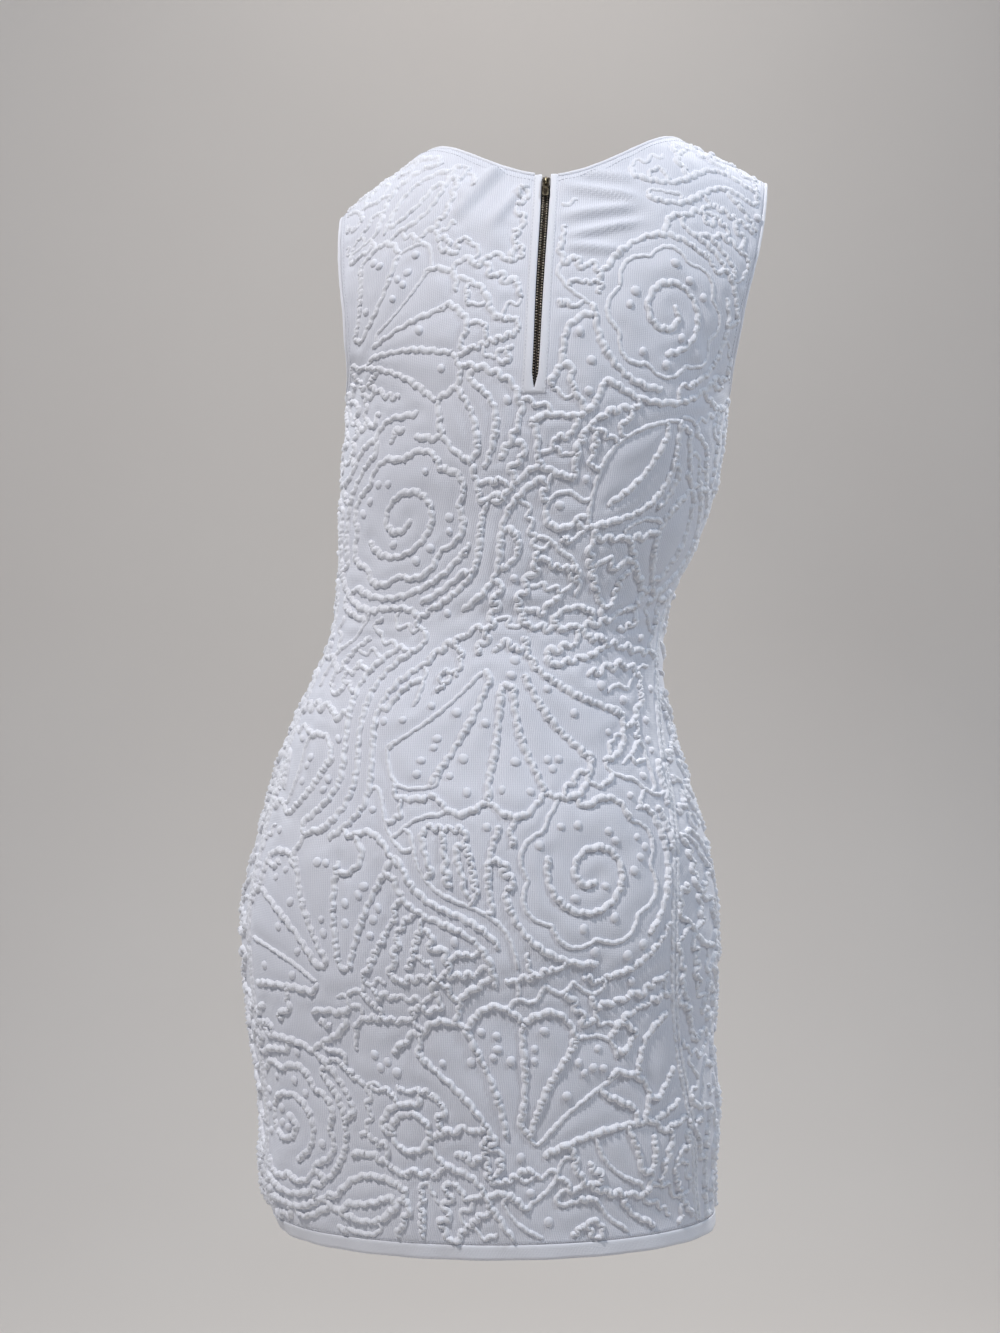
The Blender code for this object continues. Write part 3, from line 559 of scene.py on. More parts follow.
def joined_ends(cords, draw):
    """The cords with most of their ends run on into the nearest cord ahead, as drawn-up cloth does."""
    everything = np.concatenate([line for line, _ in cords])
    owner = np.repeat(np.arange(len(cords)), [len(line) for line, _ in cords])
    made = []
    for number, (line, kind) in enumerate(cords):
        for _ in range(2):
            line = line[::-1]
            ahead = line[-1] - line[-min(4, len(line))]
            ahead /= np.linalg.norm(ahead) + 1e-12
            gap = everything - line[-1]
            far = np.linalg.norm(gap, axis=1)
            facing = gap @ ahead > 0.35 * far
            far = np.where((owner == number) | ~facing, 1.0, far)
            nearest = int(np.argmin(far))
            if far[nearest] < JOIN_REACH and draw.uniform() < 0.9:
                share = np.linspace(0, 1, max(2, round(far[nearest] / FLAT_STEP) + 1))[1:, None]
                straight = line[-1] + gap[nearest] * share
                onward = line[-1] + ahead * far[nearest] * share
                line = np.concatenate([line, onward + (straight - onward) * share])
        made.append((line, kind))
    return made


def dot_places(field, draw):
    """Round knots where there is room for one."""
    kept = []
    for _ in range(DOT_TRIES):
        place = np.array([draw.uniform(-0.30, 0.30), draw.uniform(0.02, 0.91)])
        if field.free(place) and len(kept) < DOTS_MOST:
            kept.append(place)
            field.lay(place[None])
    return kept


def drawn_relief(panel):
    """Everything that is raised on a panel: its cords, each with its kind, and its dots."""
    draw = np.random.default_rng(SEED + (panel == "front"))
    field = FlatMap(panel)
    cords = []
    for i, line in enumerate(main_cords(panel)):
        cords.append((line, "rope" if i % 6 else "line"))
        field.lay(line)
    by_main_cords = field.closed.copy()
    field.close_motifs(MOTIF_QUIET)
    for kind, u, v, size, turn in LAYOUT[panel]:
        for stroke in trimmings(kind, size):
            cords += [(run, "rope") for run in keep_free(field, stroke @ spun(turn) + (u, v), 0.018)]
    field.close_plain()
    for line, _ in list(cords):
        for side in (1, -1):
            if len(line) > 18 and draw.uniform() < 0.5:
                beside = sideways(line, side * 1.08 * FILL_CLEAR)
                cords += [(run, "rope") for run in keep_free(field, beside, 0.026)]
    cords = joined_ends(cords + fill_cords(field, draw), draw)
    v = np.arange(HEM_BAND + FLAT_STEP, UNDERARM - 2 * FLAT_STEP, FLAT_STEP)
    for side in (1, -1):
        seam = np.stack([side_edge(panel, side, v) - side * 0.0022, v], -1)
        cords += [(part, "seam") for part in np.array_split(seam, 9)]
    # Dots may go into fans and low plain places, but not into leaves or the plain places that hold folds.
    field.closed = by_main_cords
    for line, _ in cords:
        field.lay(line)
    field.close_motifs(("leaf",))
    field.close_plain(DOTS_TOP)
    return cords, dot_places(field, draw)


# ---- The ground between the cords ---------------------------------------------------------------

# Soft folds and puckers: the middle's u and v, length, width, height and turn from +u.
FOLDS = {
    "back": (
        (0.045, 0.852, 0.070, 0.0060, 0.0072, 40), (0.056, 0.834, 0.060, 0.0052, 0.0060, 46),
        (0.032, 0.820, 0.045, 0.0044, 0.0054, 52), (-0.037, 0.857, 0.036, 0.0036, 0.0038, 6),
        (-0.042, 0.842, 0.050, 0.0038, 0.0056, -7), (-0.044, 0.826, 0.060, 0.0036, 0.0062, -10),
        (-0.042, 0.811, 0.054, 0.0040, 0.0054, 8), (-0.044, 0.796, 0.056, 0.0035, 0.0056, 12),
        (-0.038, 0.780, 0.044, 0.0036, 0.0046, -4), (0.110, 0.500, 0.060, 0.004, 0.0016, -6),
        (0.105, 0.488, 0.070, 0.004, 0.0018, -3), (0.112, 0.474, 0.055, 0.004, 0.0015, 3),
        (-0.105, 0.508, 0.055, 0.004, 0.0015, 6), (-0.110, 0.495, 0.065, 0.004, 0.0019, 8),
        (-0.100, 0.481, 0.050, 0.004, 0.0016, 3), (0.000, 0.512, 0.080, 0.008, 0.0018, 2),
        (0.005, 0.486, 0.070, 0.007, 0.0015, -3), (0.170, 0.140, 0.120, 0.012, 0.0025, 82),
        (-0.120, 0.120, 0.140, 0.014, 0.0022, 96), (0.060, 0.070, 0.110, 0.014, 0.0020, 86),
        (-0.135, 0.700, 0.060, 0.007, 0.0020, 120), (0.150, 0.690, 0.060, 0.007, 0.0020, 60),
    ),
    "front": (
        (0.120, 0.690, 0.080, 0.008, 0.0025, 60), (-0.120, 0.690, 0.080, 0.008, 0.0025, 120),
        (0.100, 0.500, 0.070, 0.004, 0.0018, 4), (0.095, 0.486, 0.060, 0.004, 0.0016, -4),
        (-0.100, 0.498, 0.070, 0.004, 0.0018, -5), (-0.095, 0.484, 0.055, 0.004, 0.0016, 3),
        (0.000, 0.505, 0.080, 0.008, 0.0016, 0), (0.100, 0.120, 0.150, 0.015, 0.0024, 88),
        (-0.110, 0.110, 0.130, 0.014, 0.0024, 94), (0.000, 0.790, 0.090, 0.008, 0.0016, 5),
    ),
}


class Ground:
    """How far the cloth between the cords stands out, kept on a grid and read between its points."""

    CELL = 0.002
    LOW = np.array([-0.36, -0.01])
    SHAPE = (361, 471)
    REACH = 9  # how many cells from a cord its nearness is told
    FAR = 0.03

    def __init__(self, panel, cords):
        places = self.LOW + pairs(*map(np.arange, self.SHAPE)) * self.CELL
        gap = np.full(self.SHAPE, self.FAR)
        points = np.concatenate([line for line, _ in cords])
        base = np.rint((points - self.LOW) / self.CELL).astype(int)
        for shift in stamp(self.REACH):
            i, j = np.clip(base + shift, 0, np.array(self.SHAPE) - 1).T
            np.minimum.at(gap, (i, j), np.hypot(*(places[i, j] - points).T))
        u, v = places[..., 0], places[..., 1]
        drawn_in = -0.0008 * np.exp(-((gap / 0.0055) ** 2))
        swell = 0.0017 * (1 - np.exp(-((gap / 0.009) ** 2)))
        uneven = 0.5 + 0.5 * np.sin(83 * u + 2.1 * np.sin(61 * v)) * np.sin(71 * v + 1.7 * np.sin(57 * u))
        lift = drawn_in + swell * uneven
        lift += 0.0010 * np.sin(47 * u + 23 * v + 1.3) * np.sin(39 * v - 31 * u)
        for fu, fv, length, width, height, turn in FOLDS[panel]:
            local = (places - (fu, fv)) @ spun(turn)
            along, across = local[..., 0] / (0.5 * length), local[..., 1] / width
            ridge, dip = np.exp(-(along**4) - across**2), np.exp(-(along**4) - (across / 2.2) ** 2)
            lift += height * ridge - 0.35 * height * dip
        self.lift, self.panel = lift, panel

    def at(self, u, v):
        """The lift at (u, v), easing to nothing at the panel's edges."""
        x = np.clip((u - self.LOW[0]) / self.CELL, 0, self.SHAPE[0] - 1.001)
        y = np.clip((v - self.LOW[1]) / self.CELL, 0, self.SHAPE[1] - 1.001)
        i, j = x.astype(int), y.astype(int)
        a, b = x - i, y - j
        low = self.lift[i, j] * (1 - b) + self.lift[i, j + 1] * b
        high = self.lift[i + 1, j] * (1 - b) + self.lift[i + 1, j + 1] * b
        return (low * (1 - a) + high * a) * self.ease(u, v)

    def ease(self, u, v):
        level = np.minimum(v, TOP)
        edge = np.minimum(side_edge(self.panel, 1, level) - u, u - side_edge(self.panel, -1, level))
        edge = np.minimum(edge, np.minimum(v - HEM_BAND, neck_edge(self.panel, u) - v))
        if self.panel == "back":
            by_zip = np.maximum(np.abs(u - ZIP_U) - NOTCH, PLACKET_BOTTOM - v)
            edge = np.minimum(edge, by_zip)
        return np.clip(edge / 0.006, 0, 1) ** 0.8


# ---- Meshes -------------------------------------------------------------------------------------


def add_object(name, data):
    made = bpy.data.objects.new(name, data)
    bpy.context.scene.collection.objects.link(made)
    return made


def keep_flat(mesh, flat):
    """Keeps the flat places of a mesh's points as a UV map."""
    corner = np.zeros(len(mesh.loops), int)
    mesh.loops.foreach_get("vertex_index", corner)
    uv = mesh.uv_layers.new(name="cloth_flat")
    uv.uv.foreach_set("vector", np.ascontiguousarray(flat[corner], np.float32).ravel())


def mesh_of(name, points, faces, finish, flat=None):
    """An object from points and faces, smooth, with its flat places as a UV map where it has them."""
    mesh = bpy.data.meshes.new(name)
    mesh.from_pydata(points.tolist(), [], faces.tolist() if hasattr(faces, "tolist") else faces)
    mesh.shade_smooth()
    mesh.materials.append(finish)
    if flat is not None:
        keep_flat(mesh, flat)
    return add_object(name, mesh)


def frozen(piece):
    """The piece as a plain mesh, its modifiers applied and gone."""
    evaluated = piece.evaluated_get(bpy.context.evaluated_depsgraph_get())
    mesh = bpy.data.meshes.new_from_object(evaluated)
    piece.modifiers.clear()
    if piece.type == "MESH":
        piece.data = mesh
        return piece
    made = add_object(piece.name, mesh)
    bpy.data.objects.remove(piece)
    return made


def grid_faces(rows, columns, closed=False):
    """Quads of a grid of rows by columns. closed joins the last row to the first."""
    r, c = pairs(np.arange(rows if closed else rows - 1), np.arange(columns - 1)).reshape(-1, 2).T
    here, onward = r * columns + c, (r + 1) % rows * columns + c
    return np.stack([here, here + 1, onward + 1, onward], -1)


SIDE_COLUMNS = round(0.185 / SHELL_STEP)  # on each side of the back's cut
FRONT_COLUMNS = round(0.47 / SHELL_STEP)
CUT_HALF = 0.007
CUT_SILL = 0.003  # from the foot of the placket to the foot of the cut behind it


def panel_columns(panel, v):
    """The places of a panel's columns at each height: even, with two lines at the edges of the zip's cut."""
    left, right = side_edge(panel, 1, v)[:, None], side_edge(panel, -1, v)[:, None]
    if panel == "front":
        return right + (left - right) * np.linspace(0, 1, FRONT_COLUMNS)
    t = np.linspace(0, 1, SIDE_COLUMNS)
    low, high = ZIP_U - CUT_HALF, ZIP_U + CUT_HALF
    between = np.broadcast_to(low + (high - low) * np.linspace(0, 1, 6)[1:-1], (len(v), 4))
    return np.concatenate([right + (low - right) * t, between, high + (left - high) * t], axis=1)


def dress_shell(panel, ground, finish):
    """The ground of a panel: one thin sheet with its puckers and folds, cut open behind the zip."""
    level = np.linspace(HEM_BAND + SEAM_GAP, SHOULDER_SEAM, round(0.90 / SHELL_STEP))
    rise = SHOULDER_SEAM - level[0]
    if panel == "back":
        squeeze = (float(neck_edge("back", ZIP_U)) - level[0]) / rise
        wanted = level[0] + (PLACKET_BOTTOM + CUT_SILL - level[0]) / squeeze
        sill = int(np.argmin(np.abs(level - wanted)))
        level[sill] = wanted
    u = panel_columns(panel, level)
    v = level[0] + (level[:, None] - level[0]) * (neck_edge(panel, u) - level[0]) / rise
    points = cloth(panel, u, v, ground.at(u, v))
    faces = grid_faces(*u.shape)
    if panel == "back":
        row, column_number = np.divmod(faces[:, 0], u.shape[1])
        cut = (row >= sill) & (column_number >= SIDE_COLUMNS - 1) & (column_number < SIDE_COLUMNS + 4)
        faces = faces[~cut, ::-1]
    used = np.unique(faces)
    place = np.full(u.size, -1)
    place[used] = np.arange(len(used))
    flat = np.stack([u, v], -1).reshape(-1, 2)
    piece = mesh_of(f"{panel}_cloth", points.reshape(-1, 3)[used], place[faces], finish, flat[used])
    wall = piece.modifiers.new("wall", "SOLIDIFY")
    wall.thickness = WALL
    wall.offset = -1
    return frozen(piece)


# A cord's section: places across it and their heights.
PROFILE = np.array([-1.0, -0.62, 0.0, 0.62, 1.0])
PROFILE_HEIGHT = np.array([-0.14, 0.62, 1.0, 0.62, -0.14])


def relief_mesh(panel, cords, ground, draw, finish):
    """The raised cords of a panel, each a rounded strip that is drawn up into ripples."""
    pace = CORD_PACE[panel]
    all_flat, all_out, all_faces, first = [], [], [], 0
    for line, kind in cords:
        line = even_steps(line, pace)
        smooth = line.copy()
        smooth[1:-1] = (line[:-2] + 2 * line[1:-1] + line[2:]) / 4
        run = np.arange(len(line)) * pace

        def drift(length):
            """A slow wave along the cord from a random phase on."""
            return np.sin(run * 2 * math.pi / length + draw.uniform(*ANY_PHASE))

        taper = np.clip(np.minimum(run, run[-1] - run) / 0.004, 0, 1)
        taper = 0.3 + 0.7 * np.sqrt(taper * (2 - taper))
        half, height, pitch, depth, sway = CORDS[kind]
        pitch = pitch * draw.uniform(0.88, 1.14)
        slant = draw.uniform(0.7, 1.5) * draw.choice((-1, 1))
        warp = 0.60 * drift(0.031) + 0.50 * drift(0.0133)
        phase = math.pi * run / pitch + warp + draw.uniform(0, 3.14)
        bulk = 0.86 + 0.16 * drift(0.037)
        ripple = 1 - depth + depth * np.abs(np.sin(phase[:, None] + slant * PROFILE)) ** 0.8
        ripple = ripple * bulk[:, None]
        girth = (0.86 + 0.34 * depth * np.abs(np.sin(phase))) * (1 + 0.12 * drift(0.047))
        offset = PROFILE * half * (girth * taper)[:, None] + (sway * np.sin(phase + 1.1))[:, None]
        puff = np.interp(smooth[:, 1], *PUFF)[:, None]
        rise = height * puff * taper[:, None] * PROFILE_HEIGHT * np.where(PROFILE_HEIGHT > 0, ripple, 1)
        all_flat.append((smooth[:, None] + leftward(smooth)[:, None] * offset[..., None]).reshape(-1, 2))
        all_out.append(rise.reshape(-1))
        all_faces.append(first + grid_faces(len(line), len(PROFILE)))
        first += rise.size
    flat, out, faces = map(np.concatenate, (all_flat, all_out, all_faces))
    points = cloth(panel, *flat.T, out + ground.at(*flat.T))
    return mesh_of(f"{panel}_relief", points, faces[:, ::-1] if panel == "front" else faces, finish, flat)


# ---- Repeats, made by geometry nodes ------------------------------------------------------------


def add_node(tree, kind, values=(), **settings):
    """Adds a node with its settings and, for each named input, a value or another node's output."""
    made = tree.nodes.new(kind)
    for key, value in settings.items():
        setattr(made, key, value)
    for socket, value in dict(values).items():
        if isinstance(value, bpy.types.NodeSocket):
            tree.links.new(value, made.inputs[socket])
        else:
            made.inputs[socket].default_value = value
    return made


class Tree:
    """A geometry node tree whose inputs are the geometry, the numbers it is given and a material."""

    KINDS = {float: "NodeSocketFloat", int: "NodeSocketInt", type(None): "NodeSocketMaterial"}

    def __init__(self, name, **numbers):
        self.tree = bpy.data.node_groups.new(name, "GeometryNodeTree")
        face = self.tree.interface
        face.new_socket(name="Geometry", in_out="INPUT", socket_type="NodeSocketGeometry")
        self.names = {}
        for label, value in {**numbers, "Material": None}.items():
            socket = face.new_socket(name=label, in_out="INPUT", socket_type=self.KINDS[type(value)])
            if value is not None:
                socket.default_value = value
            self.names[label] = socket.identifier
        face.new_socket(name="Geometry", in_out="OUTPUT", socket_type="NodeSocketGeometry")
        self.given = self.tree.nodes.new("NodeGroupInput").outputs
        self.end = self.tree.nodes.new("NodeGroupOutput")

    def node(self, kind, values=(), **settings):
        """Adds a node and returns its first output."""
        return add_node(self.tree, kind, values, **settings).outputs[0]

    def sized(self, across, along, high):
        """A vector from three of the tree's numbers."""
        return self.node("ShaderNodeCombineXYZ", zip("XYZ", (self.given[n] for n in (across, along, high))))

    def turned(self, vector, **settings):
        return self.node("FunctionNodeAlignRotationToVector", {"Vector": vector}, **settings)

    def out(self):
        """The vector out of the cloth that is kept on the points."""
        return self.node("GeometryNodeInputNamedAttribute", {"Name": "out"}, data_type="FLOAT_VECTOR")

    def put(self, points, shape, values):
        """Ends the tree: the shape on every point, made real and given its material."""
        placed = self.node("GeometryNodeInstanceOnPoints", {"Points": points, "Instance": shape, **values})
        real = self.node("GeometryNodeRealizeInstances", {"Geometry": placed})
        coloured = self.node("GeometryNodeSetMaterial", {"Geometry": real, "Material": self.given["Material"]})
        self.tree.links.new(coloured, self.end.inputs["Geometry"])
        return self

    def put_along(self, shape, values=()):
        """Ends the tree: the shape at even steps of the lines, turned along them and out of the cloth."""
        curve = self.node("GeometryNodeMeshToCurve", {"Mesh": self.given["Geometry"]})
        steps = {"Curve": curve, "Length": self.given["Spacing"]}
        even = self.node("GeometryNodeResampleCurve", steps, mode="LENGTH")
        first = self.turned(self.node("GeometryNodeInputTangent"), axis="X")
        turns = {"Rotation": first, "Vector": self.out()}
        turn = self.node("FunctionNodeAlignRotationToVector", turns, axis="Z", pivot_axis="X")
        return self.put(even, shape, {"Rotation": turn, **dict(values)})

    def run(self, piece, finish, **values):
        use = piece.modifiers.new(self.tree.name, "NODES")
        use.node_group = self.tree
        for label, value in {**values, "Material": finish}.items():
            use[self.names[label]] = value
        return frozen(piece)


def line_object(name, paths, outs):
    """A mesh of open lines, with the vectors out of the cloth kept on its points, for a tree to follow."""
    mesh = bpy.data.meshes.new(name)
    edges, first = [], 0
    for path in paths:
        edges += [(first + i, first + i + 1) for i in range(len(path) - 1)]
        first += len(path)
    mesh.from_pydata(np.concatenate(paths).tolist(), edges, [])
    layer = mesh.attributes.new("out", "FLOAT_VECTOR", "POINT")
    layer.data.foreach_set("vector", np.ascontiguousarray(outs, np.float32).ravel())
    return add_object(name, mesh)


def stitch_tree():
    """Short raised stitches, one after another along each line."""
    tree = Tree("stitch_row", Stitch=0.0024, Spacing=0.0031, Thickness=0.00045)
    ball = tree.node("GeometryNodeMeshUVSphere", {"Segments": 6, "Rings": 4, "Radius": 0.5})
    return tree.put_along(ball, {"Scale": tree.sized("Stitch", "Thickness", "Thickness")})


def tooth_tree():
    """The zip's teeth: a rounded block at each step of a line, turned to face out."""
    tree = Tree("zip_teeth", Spacing=0.0022, Width=0.0026, Length=0.0011, Height=0.0017)
    counts = {"Vertices X": 2, "Vertices Y": 3, "Vertices Z": 2}
    block = tree.node("GeometryNodeMeshCube", {"Size": tree.sized("Length", "Width", "Height"), **counts})
    rounder = add_node(tree.tree, "GeometryNodeSubdivisionSurface", {"Mesh": block, "Level": 1})
    for socket in rounder.inputs:
        if socket.name == "Edge Crease":
            socket.default_value = 0.55
    return tree.put_along(rounder.outputs[0])


def knot_tree():
    """Round knots of the relief, one on each point, uneven in size and flat beneath."""
    tree = Tree("relief_knots", Radius=0.0036, Height=0.0024, Seed=3)
    ball = tree.node("GeometryNodeMeshUVSphere", {"Segments": 12, "Rings": 8, "Radius": 1.0})
    place = tree.node("GeometryNodeInputPosition")
    x, y, z = add_node(tree.tree, "ShaderNodeSeparateXYZ", {"Vector": place}).outputs
    floor = tree.node("ShaderNodeMath", {0: z, 1: -0.3}, operation="MAXIMUM")
    flat = tree.node("ShaderNodeCombineXYZ", {"X": x, "Y": y, "Z": floor})
    knot = tree.node("GeometryNodeSetPosition", {"Geometry": ball, "Position": flat})
    size = tree.sized("Radius", "Radius", "Height")
    spread = {0: (0.78, 0.78, 0.85), 1: (1.18, 1.18, 1.10), "Seed": tree.given["Seed"]}
    uneven = tree.node("FunctionNodeRandomValue", spread, data_type="FLOAT_VECTOR")
    scale = tree.node("ShaderNodeVectorMath", {0: size, 1: uneven}, operation="MULTIPLY")
    return tree.put(tree.given["Geometry"], knot, {"Rotation": tree.turned(tree.out(), axis="Z"), "Scale": scale})


# ---- Materials ----------------------------------------------------------------------------------


class Finish:
    """A material, with the nodes that the dress's materials share."""

    def __init__(self, name, **values):
        self.material = bpy.data.materials.new(name)
        self.material.use_nodes = True
        self.tree = self.material.node_tree
        self.shader = self.tree.nodes["Principled BSDF"].inputs
        for label, value in values.items():
            self.shader[label.replace("_", " ")].default_value = value
        self.object_place = add_node(self.tree, "ShaderNodeTexCoord").outputs["Object"]

    def noise(self, scale, detail):
        values = {"Vector": self.object_place, "Scale": scale, "Detail": detail}
        return add_node(self.tree, "ShaderNodeTexNoise", values).outputs["Fac"]

    def mixed(self, factor, first, second, **settings):
        values = {"Factor": factor, "A": first, "B": second}
        return add_node(self.tree, "ShaderNodeMix", values, data_type="RGBA", **settings).outputs["Result"]

    def coloured(self, colour):
        self.tree.links.new(colour, self.shader["Base Color"])

    def bumped(self, height, strength, distance):
        values = {"Height": height, "Strength": strength, "Distance": distance}
        self.tree.links.new(add_node(self.tree, "ShaderNodeBump", values).outputs["Normal"], self.shader["Normal"])


def rib_group():
    """Fine vertical ribs of knit: rows of stitches in columns, as a height and a painted shade between the ribs."""
    tree = bpy.data.node_groups.new("fine_rib", "ShaderNodeTree")
    face = tree.interface
    face.new_socket(name="Place", in_out="INPUT", socket_type="NodeSocketVector")
    for name, value in (("Rib", 0.0017), ("Row", 0.0013), ("Fuzz", 0.25)):
        face.new_socket(name=name, in_out="INPUT", socket_type="NodeSocketFloat").default_value = value
    for name in ("Height", "Shade"):
        face.new_socket(name=name, in_out="OUTPUT", socket_type="NodeSocketFloat")
    given, result = tree.nodes.new("NodeGroupInput").outputs, tree.nodes.new("NodeGroupOutput")

    def sums(operation, *values):
        return add_node(tree, "ShaderNodeMath", enumerate(values), operation=operation).outputs[0]

    def noise(scale, detail):
        values = {"Vector": given["Place"], "Scale": scale, "Detail": detail}
        return add_node(tree, "ShaderNodeTexNoise", values).outputs["Fac"]

    split = add_node(tree, "ShaderNodeSeparateXYZ", {"Vector": given["Place"]}).outputs
    drift = sums("MULTIPLY", sums("SUBTRACT", noise(90.0, 2.0), 0.5), 0.0022)
    across = sums("DIVIDE", sums("ADD", split["X"], drift), given["Rib"])
    up = sums("DIVIDE", split["Y"], given["Row"])
    rib = sums("ABSOLUTE", sums("SINE", sums("MULTIPLY", across, math.pi)))
    stitch = sums("SINE", sums("MULTIPLY", sums("ADD", up, sums("MULTIPLY", rib, 0.35)), 2 * math.pi))
    height = sums("ADD", sums("MULTIPLY", rib, 0.7), sums("MULTIPLY", stitch, 0.16))
    height = sums("ADD", height, sums("MULTIPLY", noise(2600.0, 3.0), given["Fuzz"]))
    tree.links.new(height, result.inputs["Height"])
    tree.links.new(rib, result.inputs["Shade"])
    return tree


def knit_material(name, group, light, dark, bump, rib=0.0017):
    """White knit: pale ribs with a little painted shade between them, uneven whiteness and a soft sheen."""
    made = Finish(name, Roughness=0.88, Sheen_Weight=0.22, Sheen_Roughness=0.5)
    place = add_node(made.tree, "ShaderNodeUVMap", uv_map="cloth_flat").outputs["UV"]
    knit = add_node(made.tree, "ShaderNodeGroup", node_tree=group)
    made.tree.links.new(place, knit.inputs["Place"])
    knit.inputs["Rib"].default_value = rib
    # The darker colour between the ribs is painted shade.
    base = made.mixed(knit.outputs["Shade"], (*dark, 1), (*light, 1))
    made.coloured(made.mixed(made.noise(9.0, 3.0), base, (0.955, 0.962, 0.985, 1), blend_type="MULTIPLY"))
    made.bumped(knit.outputs["Height"], bump, 0.0005)
    return made.material


def groove_shade_thread_material():
    made = Finish("thread_painted_groove_shade", Roughness=0.7)
    # The white thread is painted grey: painted shade of the groove that the stitches sink into.
    made.coloured(made.mixed(made.noise(1800.0, 2.0), (0.53, 0.54, 0.58, 1), (0.68, 0.69, 0.73, 1)))
    return made.material


def tape_material():
    made = Finish("zip_tape_weave", Roughness=0.9)
    values = {"Vector": made.object_place, "Scale": 620.0, "Distortion": 1.5}
    weave = add_node(made.tree, "ShaderNodeTexWave", values, bands_direction="Z").outputs["Fac"]
    made.coloured(made.mixed(weave, (0.010, 0.007, 0.006, 1), (0.026, 0.019, 0.015, 1)))
    made.bumped(weave, 0.5, 0.0003)
    return made.material


def brass_material(name, light, dark, rough):
    """Antique brass: darker and worn brighter in patches, with small scratches."""
    made = Finish(name, Metallic=1.0)
    patina = made.noise(420.0, 5.0)
    stops = add_node(made.tree, "ShaderNodeValToRGB", {"Fac": patina})
    for stop, position, colour in zip(stops.color_ramp.elements, (0.38, 0.66), (dark, light)):
        stop.position, stop.color = position, (*colour, 1)
    made.coloured(stops.outputs["Color"])
    spread = {"Value": patina, "To Min": rough + 0.14, "To Max": rough - 0.08}
    rougher = add_node(made.tree, "ShaderNodeMapRange", spread).outputs["Result"]
    made.tree.links.new(rougher, made.shader["Roughness"])
    made.bumped(made.noise(2400.0, 2.0), 0.18, 0.0002)
    return made.material


# ---- Edges, placket and hem ---------------------------------------------------------------------


def outward(mesh):
    """Turns the faces of a closed mesh outward."""
    work = bmesh.new()
    work.from_mesh(mesh)
    bmesh.ops.recalc_face_normals(work, faces=work.faces)
    work.to_mesh(mesh)
    work.free()


def loft(name, rings, finish, closed=False, flat=None):
    """A tube through rings of points, capped unless it closes on itself."""
    rings = np.array(rings)
    count = rings.shape[1]
    faces = grid_faces(len(rings), count + 1, closed)
    faces = [tuple(f) for f in (faces % (count + 1) % count + faces // (count + 1) * count).tolist()]
    if not closed:
        faces += [tuple(range(count))[::-1], tuple(range((len(rings) - 1) * count, len(rings) * count))]
    made = mesh_of(name, rings.reshape(-1, 3), faces, finish)
    outward(made.data)
    made.data.shade_smooth()
    if flat is not None:
        keep_flat(made.data, np.reshape(flat, (-1, 2)))
    return made


def neck_run(panel, start, end, count):
    u = np.linspace(start, end, count)
    return np.stack([u, neck_edge(panel, u)], -1)


def armhole_run(panel, side, count=60):
    low = UNDERARM + ARMHOLE_LOW * (1 - np.cos(np.linspace(0, math.pi / 2, count // 2))) * (TOP - UNDERARM)
    high = np.linspace(low[-1], SHOULDER_SEAM, count // 2)[1:]
    v = np.concatenate([low, high])
    return np.stack([side_edge(panel, side, v), v], -1)


def edge_rings(stretches, side):
    """Rings of a bound edge that wraps the cloth edge, a little puckered along its length."""
    mid, normal = [], []
    for panel, run in stretches:
        face, _, _, out = cloth_frame(panel, run[:, 0], run[:, 1])
        mid.append(face - out * WALL / 2)
        normal.append(out)
    mid, normal = np.concatenate(mid), np.concatenate(normal)
    along = np.gradient(mid, axis=0)
    out = np.cross(normal, along) * side
    out /= np.linalg.norm(out, axis=1, keepdims=True)
    centre = mid + out * (BEAD_RADIUS + 0.0001)
    turn = np.linspace(0, 2 * math.pi, 12, endpoint=False)
    ring_out = np.cos(turn)[:, None] * BINDING_HALF[0]
    ring_up = np.sin(turn)[:, None] * BINDING_HALF[1]
    run = travelled(mid)
    pucker = 1 + 0.05 * np.sin(run * 2 * math.pi / 0.0043) + 0.05 * np.sin(run * 2 * math.pi / 0.019 + 1)
    rings = centre[:, None] + (out[:, None] * ring_out + normal[:, None] * ring_up) * pucker[:, None, None]
    return rings, np.stack(np.broadcast_arrays(turn[None] * BINDING_HALF[0], run[:, None]), -1)


def on_cloth(panel, run, ground, lift):
    """World points and outward vectors of a flat line that lies on the panel."""
    face, _, _, out = cloth_frame(panel, run[:, 0], run[:, 1])
    return face + out * (ground.at(run[:, 0], run[:, 1]) + lift)[:, None], out


def placket_rings():
    """The strip round the zip as a rounded section that goes down, across the squared end and up."""
    top = float(neck_edge("back", PLACKET_HALF)) + 0.0012
    tip = SLIT[0][0]
    down = np.linspace(top, tip + 0.0004, 110)
    slit = np.interp(down, *zip(*SLIT))
    across = np.linspace(-PLACKET_HALF, PLACKET_HALF, 15)
    edge = np.full(len(down), PLACKET_HALF)
    outer = np.concatenate([
        np.stack([-edge, down], -1), np.stack([across, np.full(15, PLACKET_BOTTOM)], -1),
        np.stack([edge, down[::-1]], -1),
    ]) + (ZIP_U, 0)
    inner = np.concatenate([
        np.stack([-slit, down], -1),
        np.stack([0.0002 * np.sign(across), tip - 0.0004 * (1 - np.abs(across) / PLACKET_HALF)], -1),
        np.stack([slit, down], -1)[::-1],
    ]) + (ZIP_U, 0)
    # Across the strip, from the slit to its outer edge: share of the way, and how far out of the cloth.
    section = (
        (0.00, -0.0012), (0.00, 0.0000), (0.05, 0.0007), (0.22, 0.0009), (0.60, 0.0008), (0.80, 0.0006),
        (0.86, 0.0003), (0.92, 0.0005), (0.98, 0.0003), (1.00, 0.0000), (1.00, -0.0012),
    )
    flats = [inner + (outer - inner) * share for share, _ in section]
    rings = [
        cloth("back", flat[:, 0], flat[:, 1], np.full(len(flat), height)) for flat, (_, height) in zip(flats, section)
    ]
    return np.stack(rings, 1), np.stack(flats, 1)


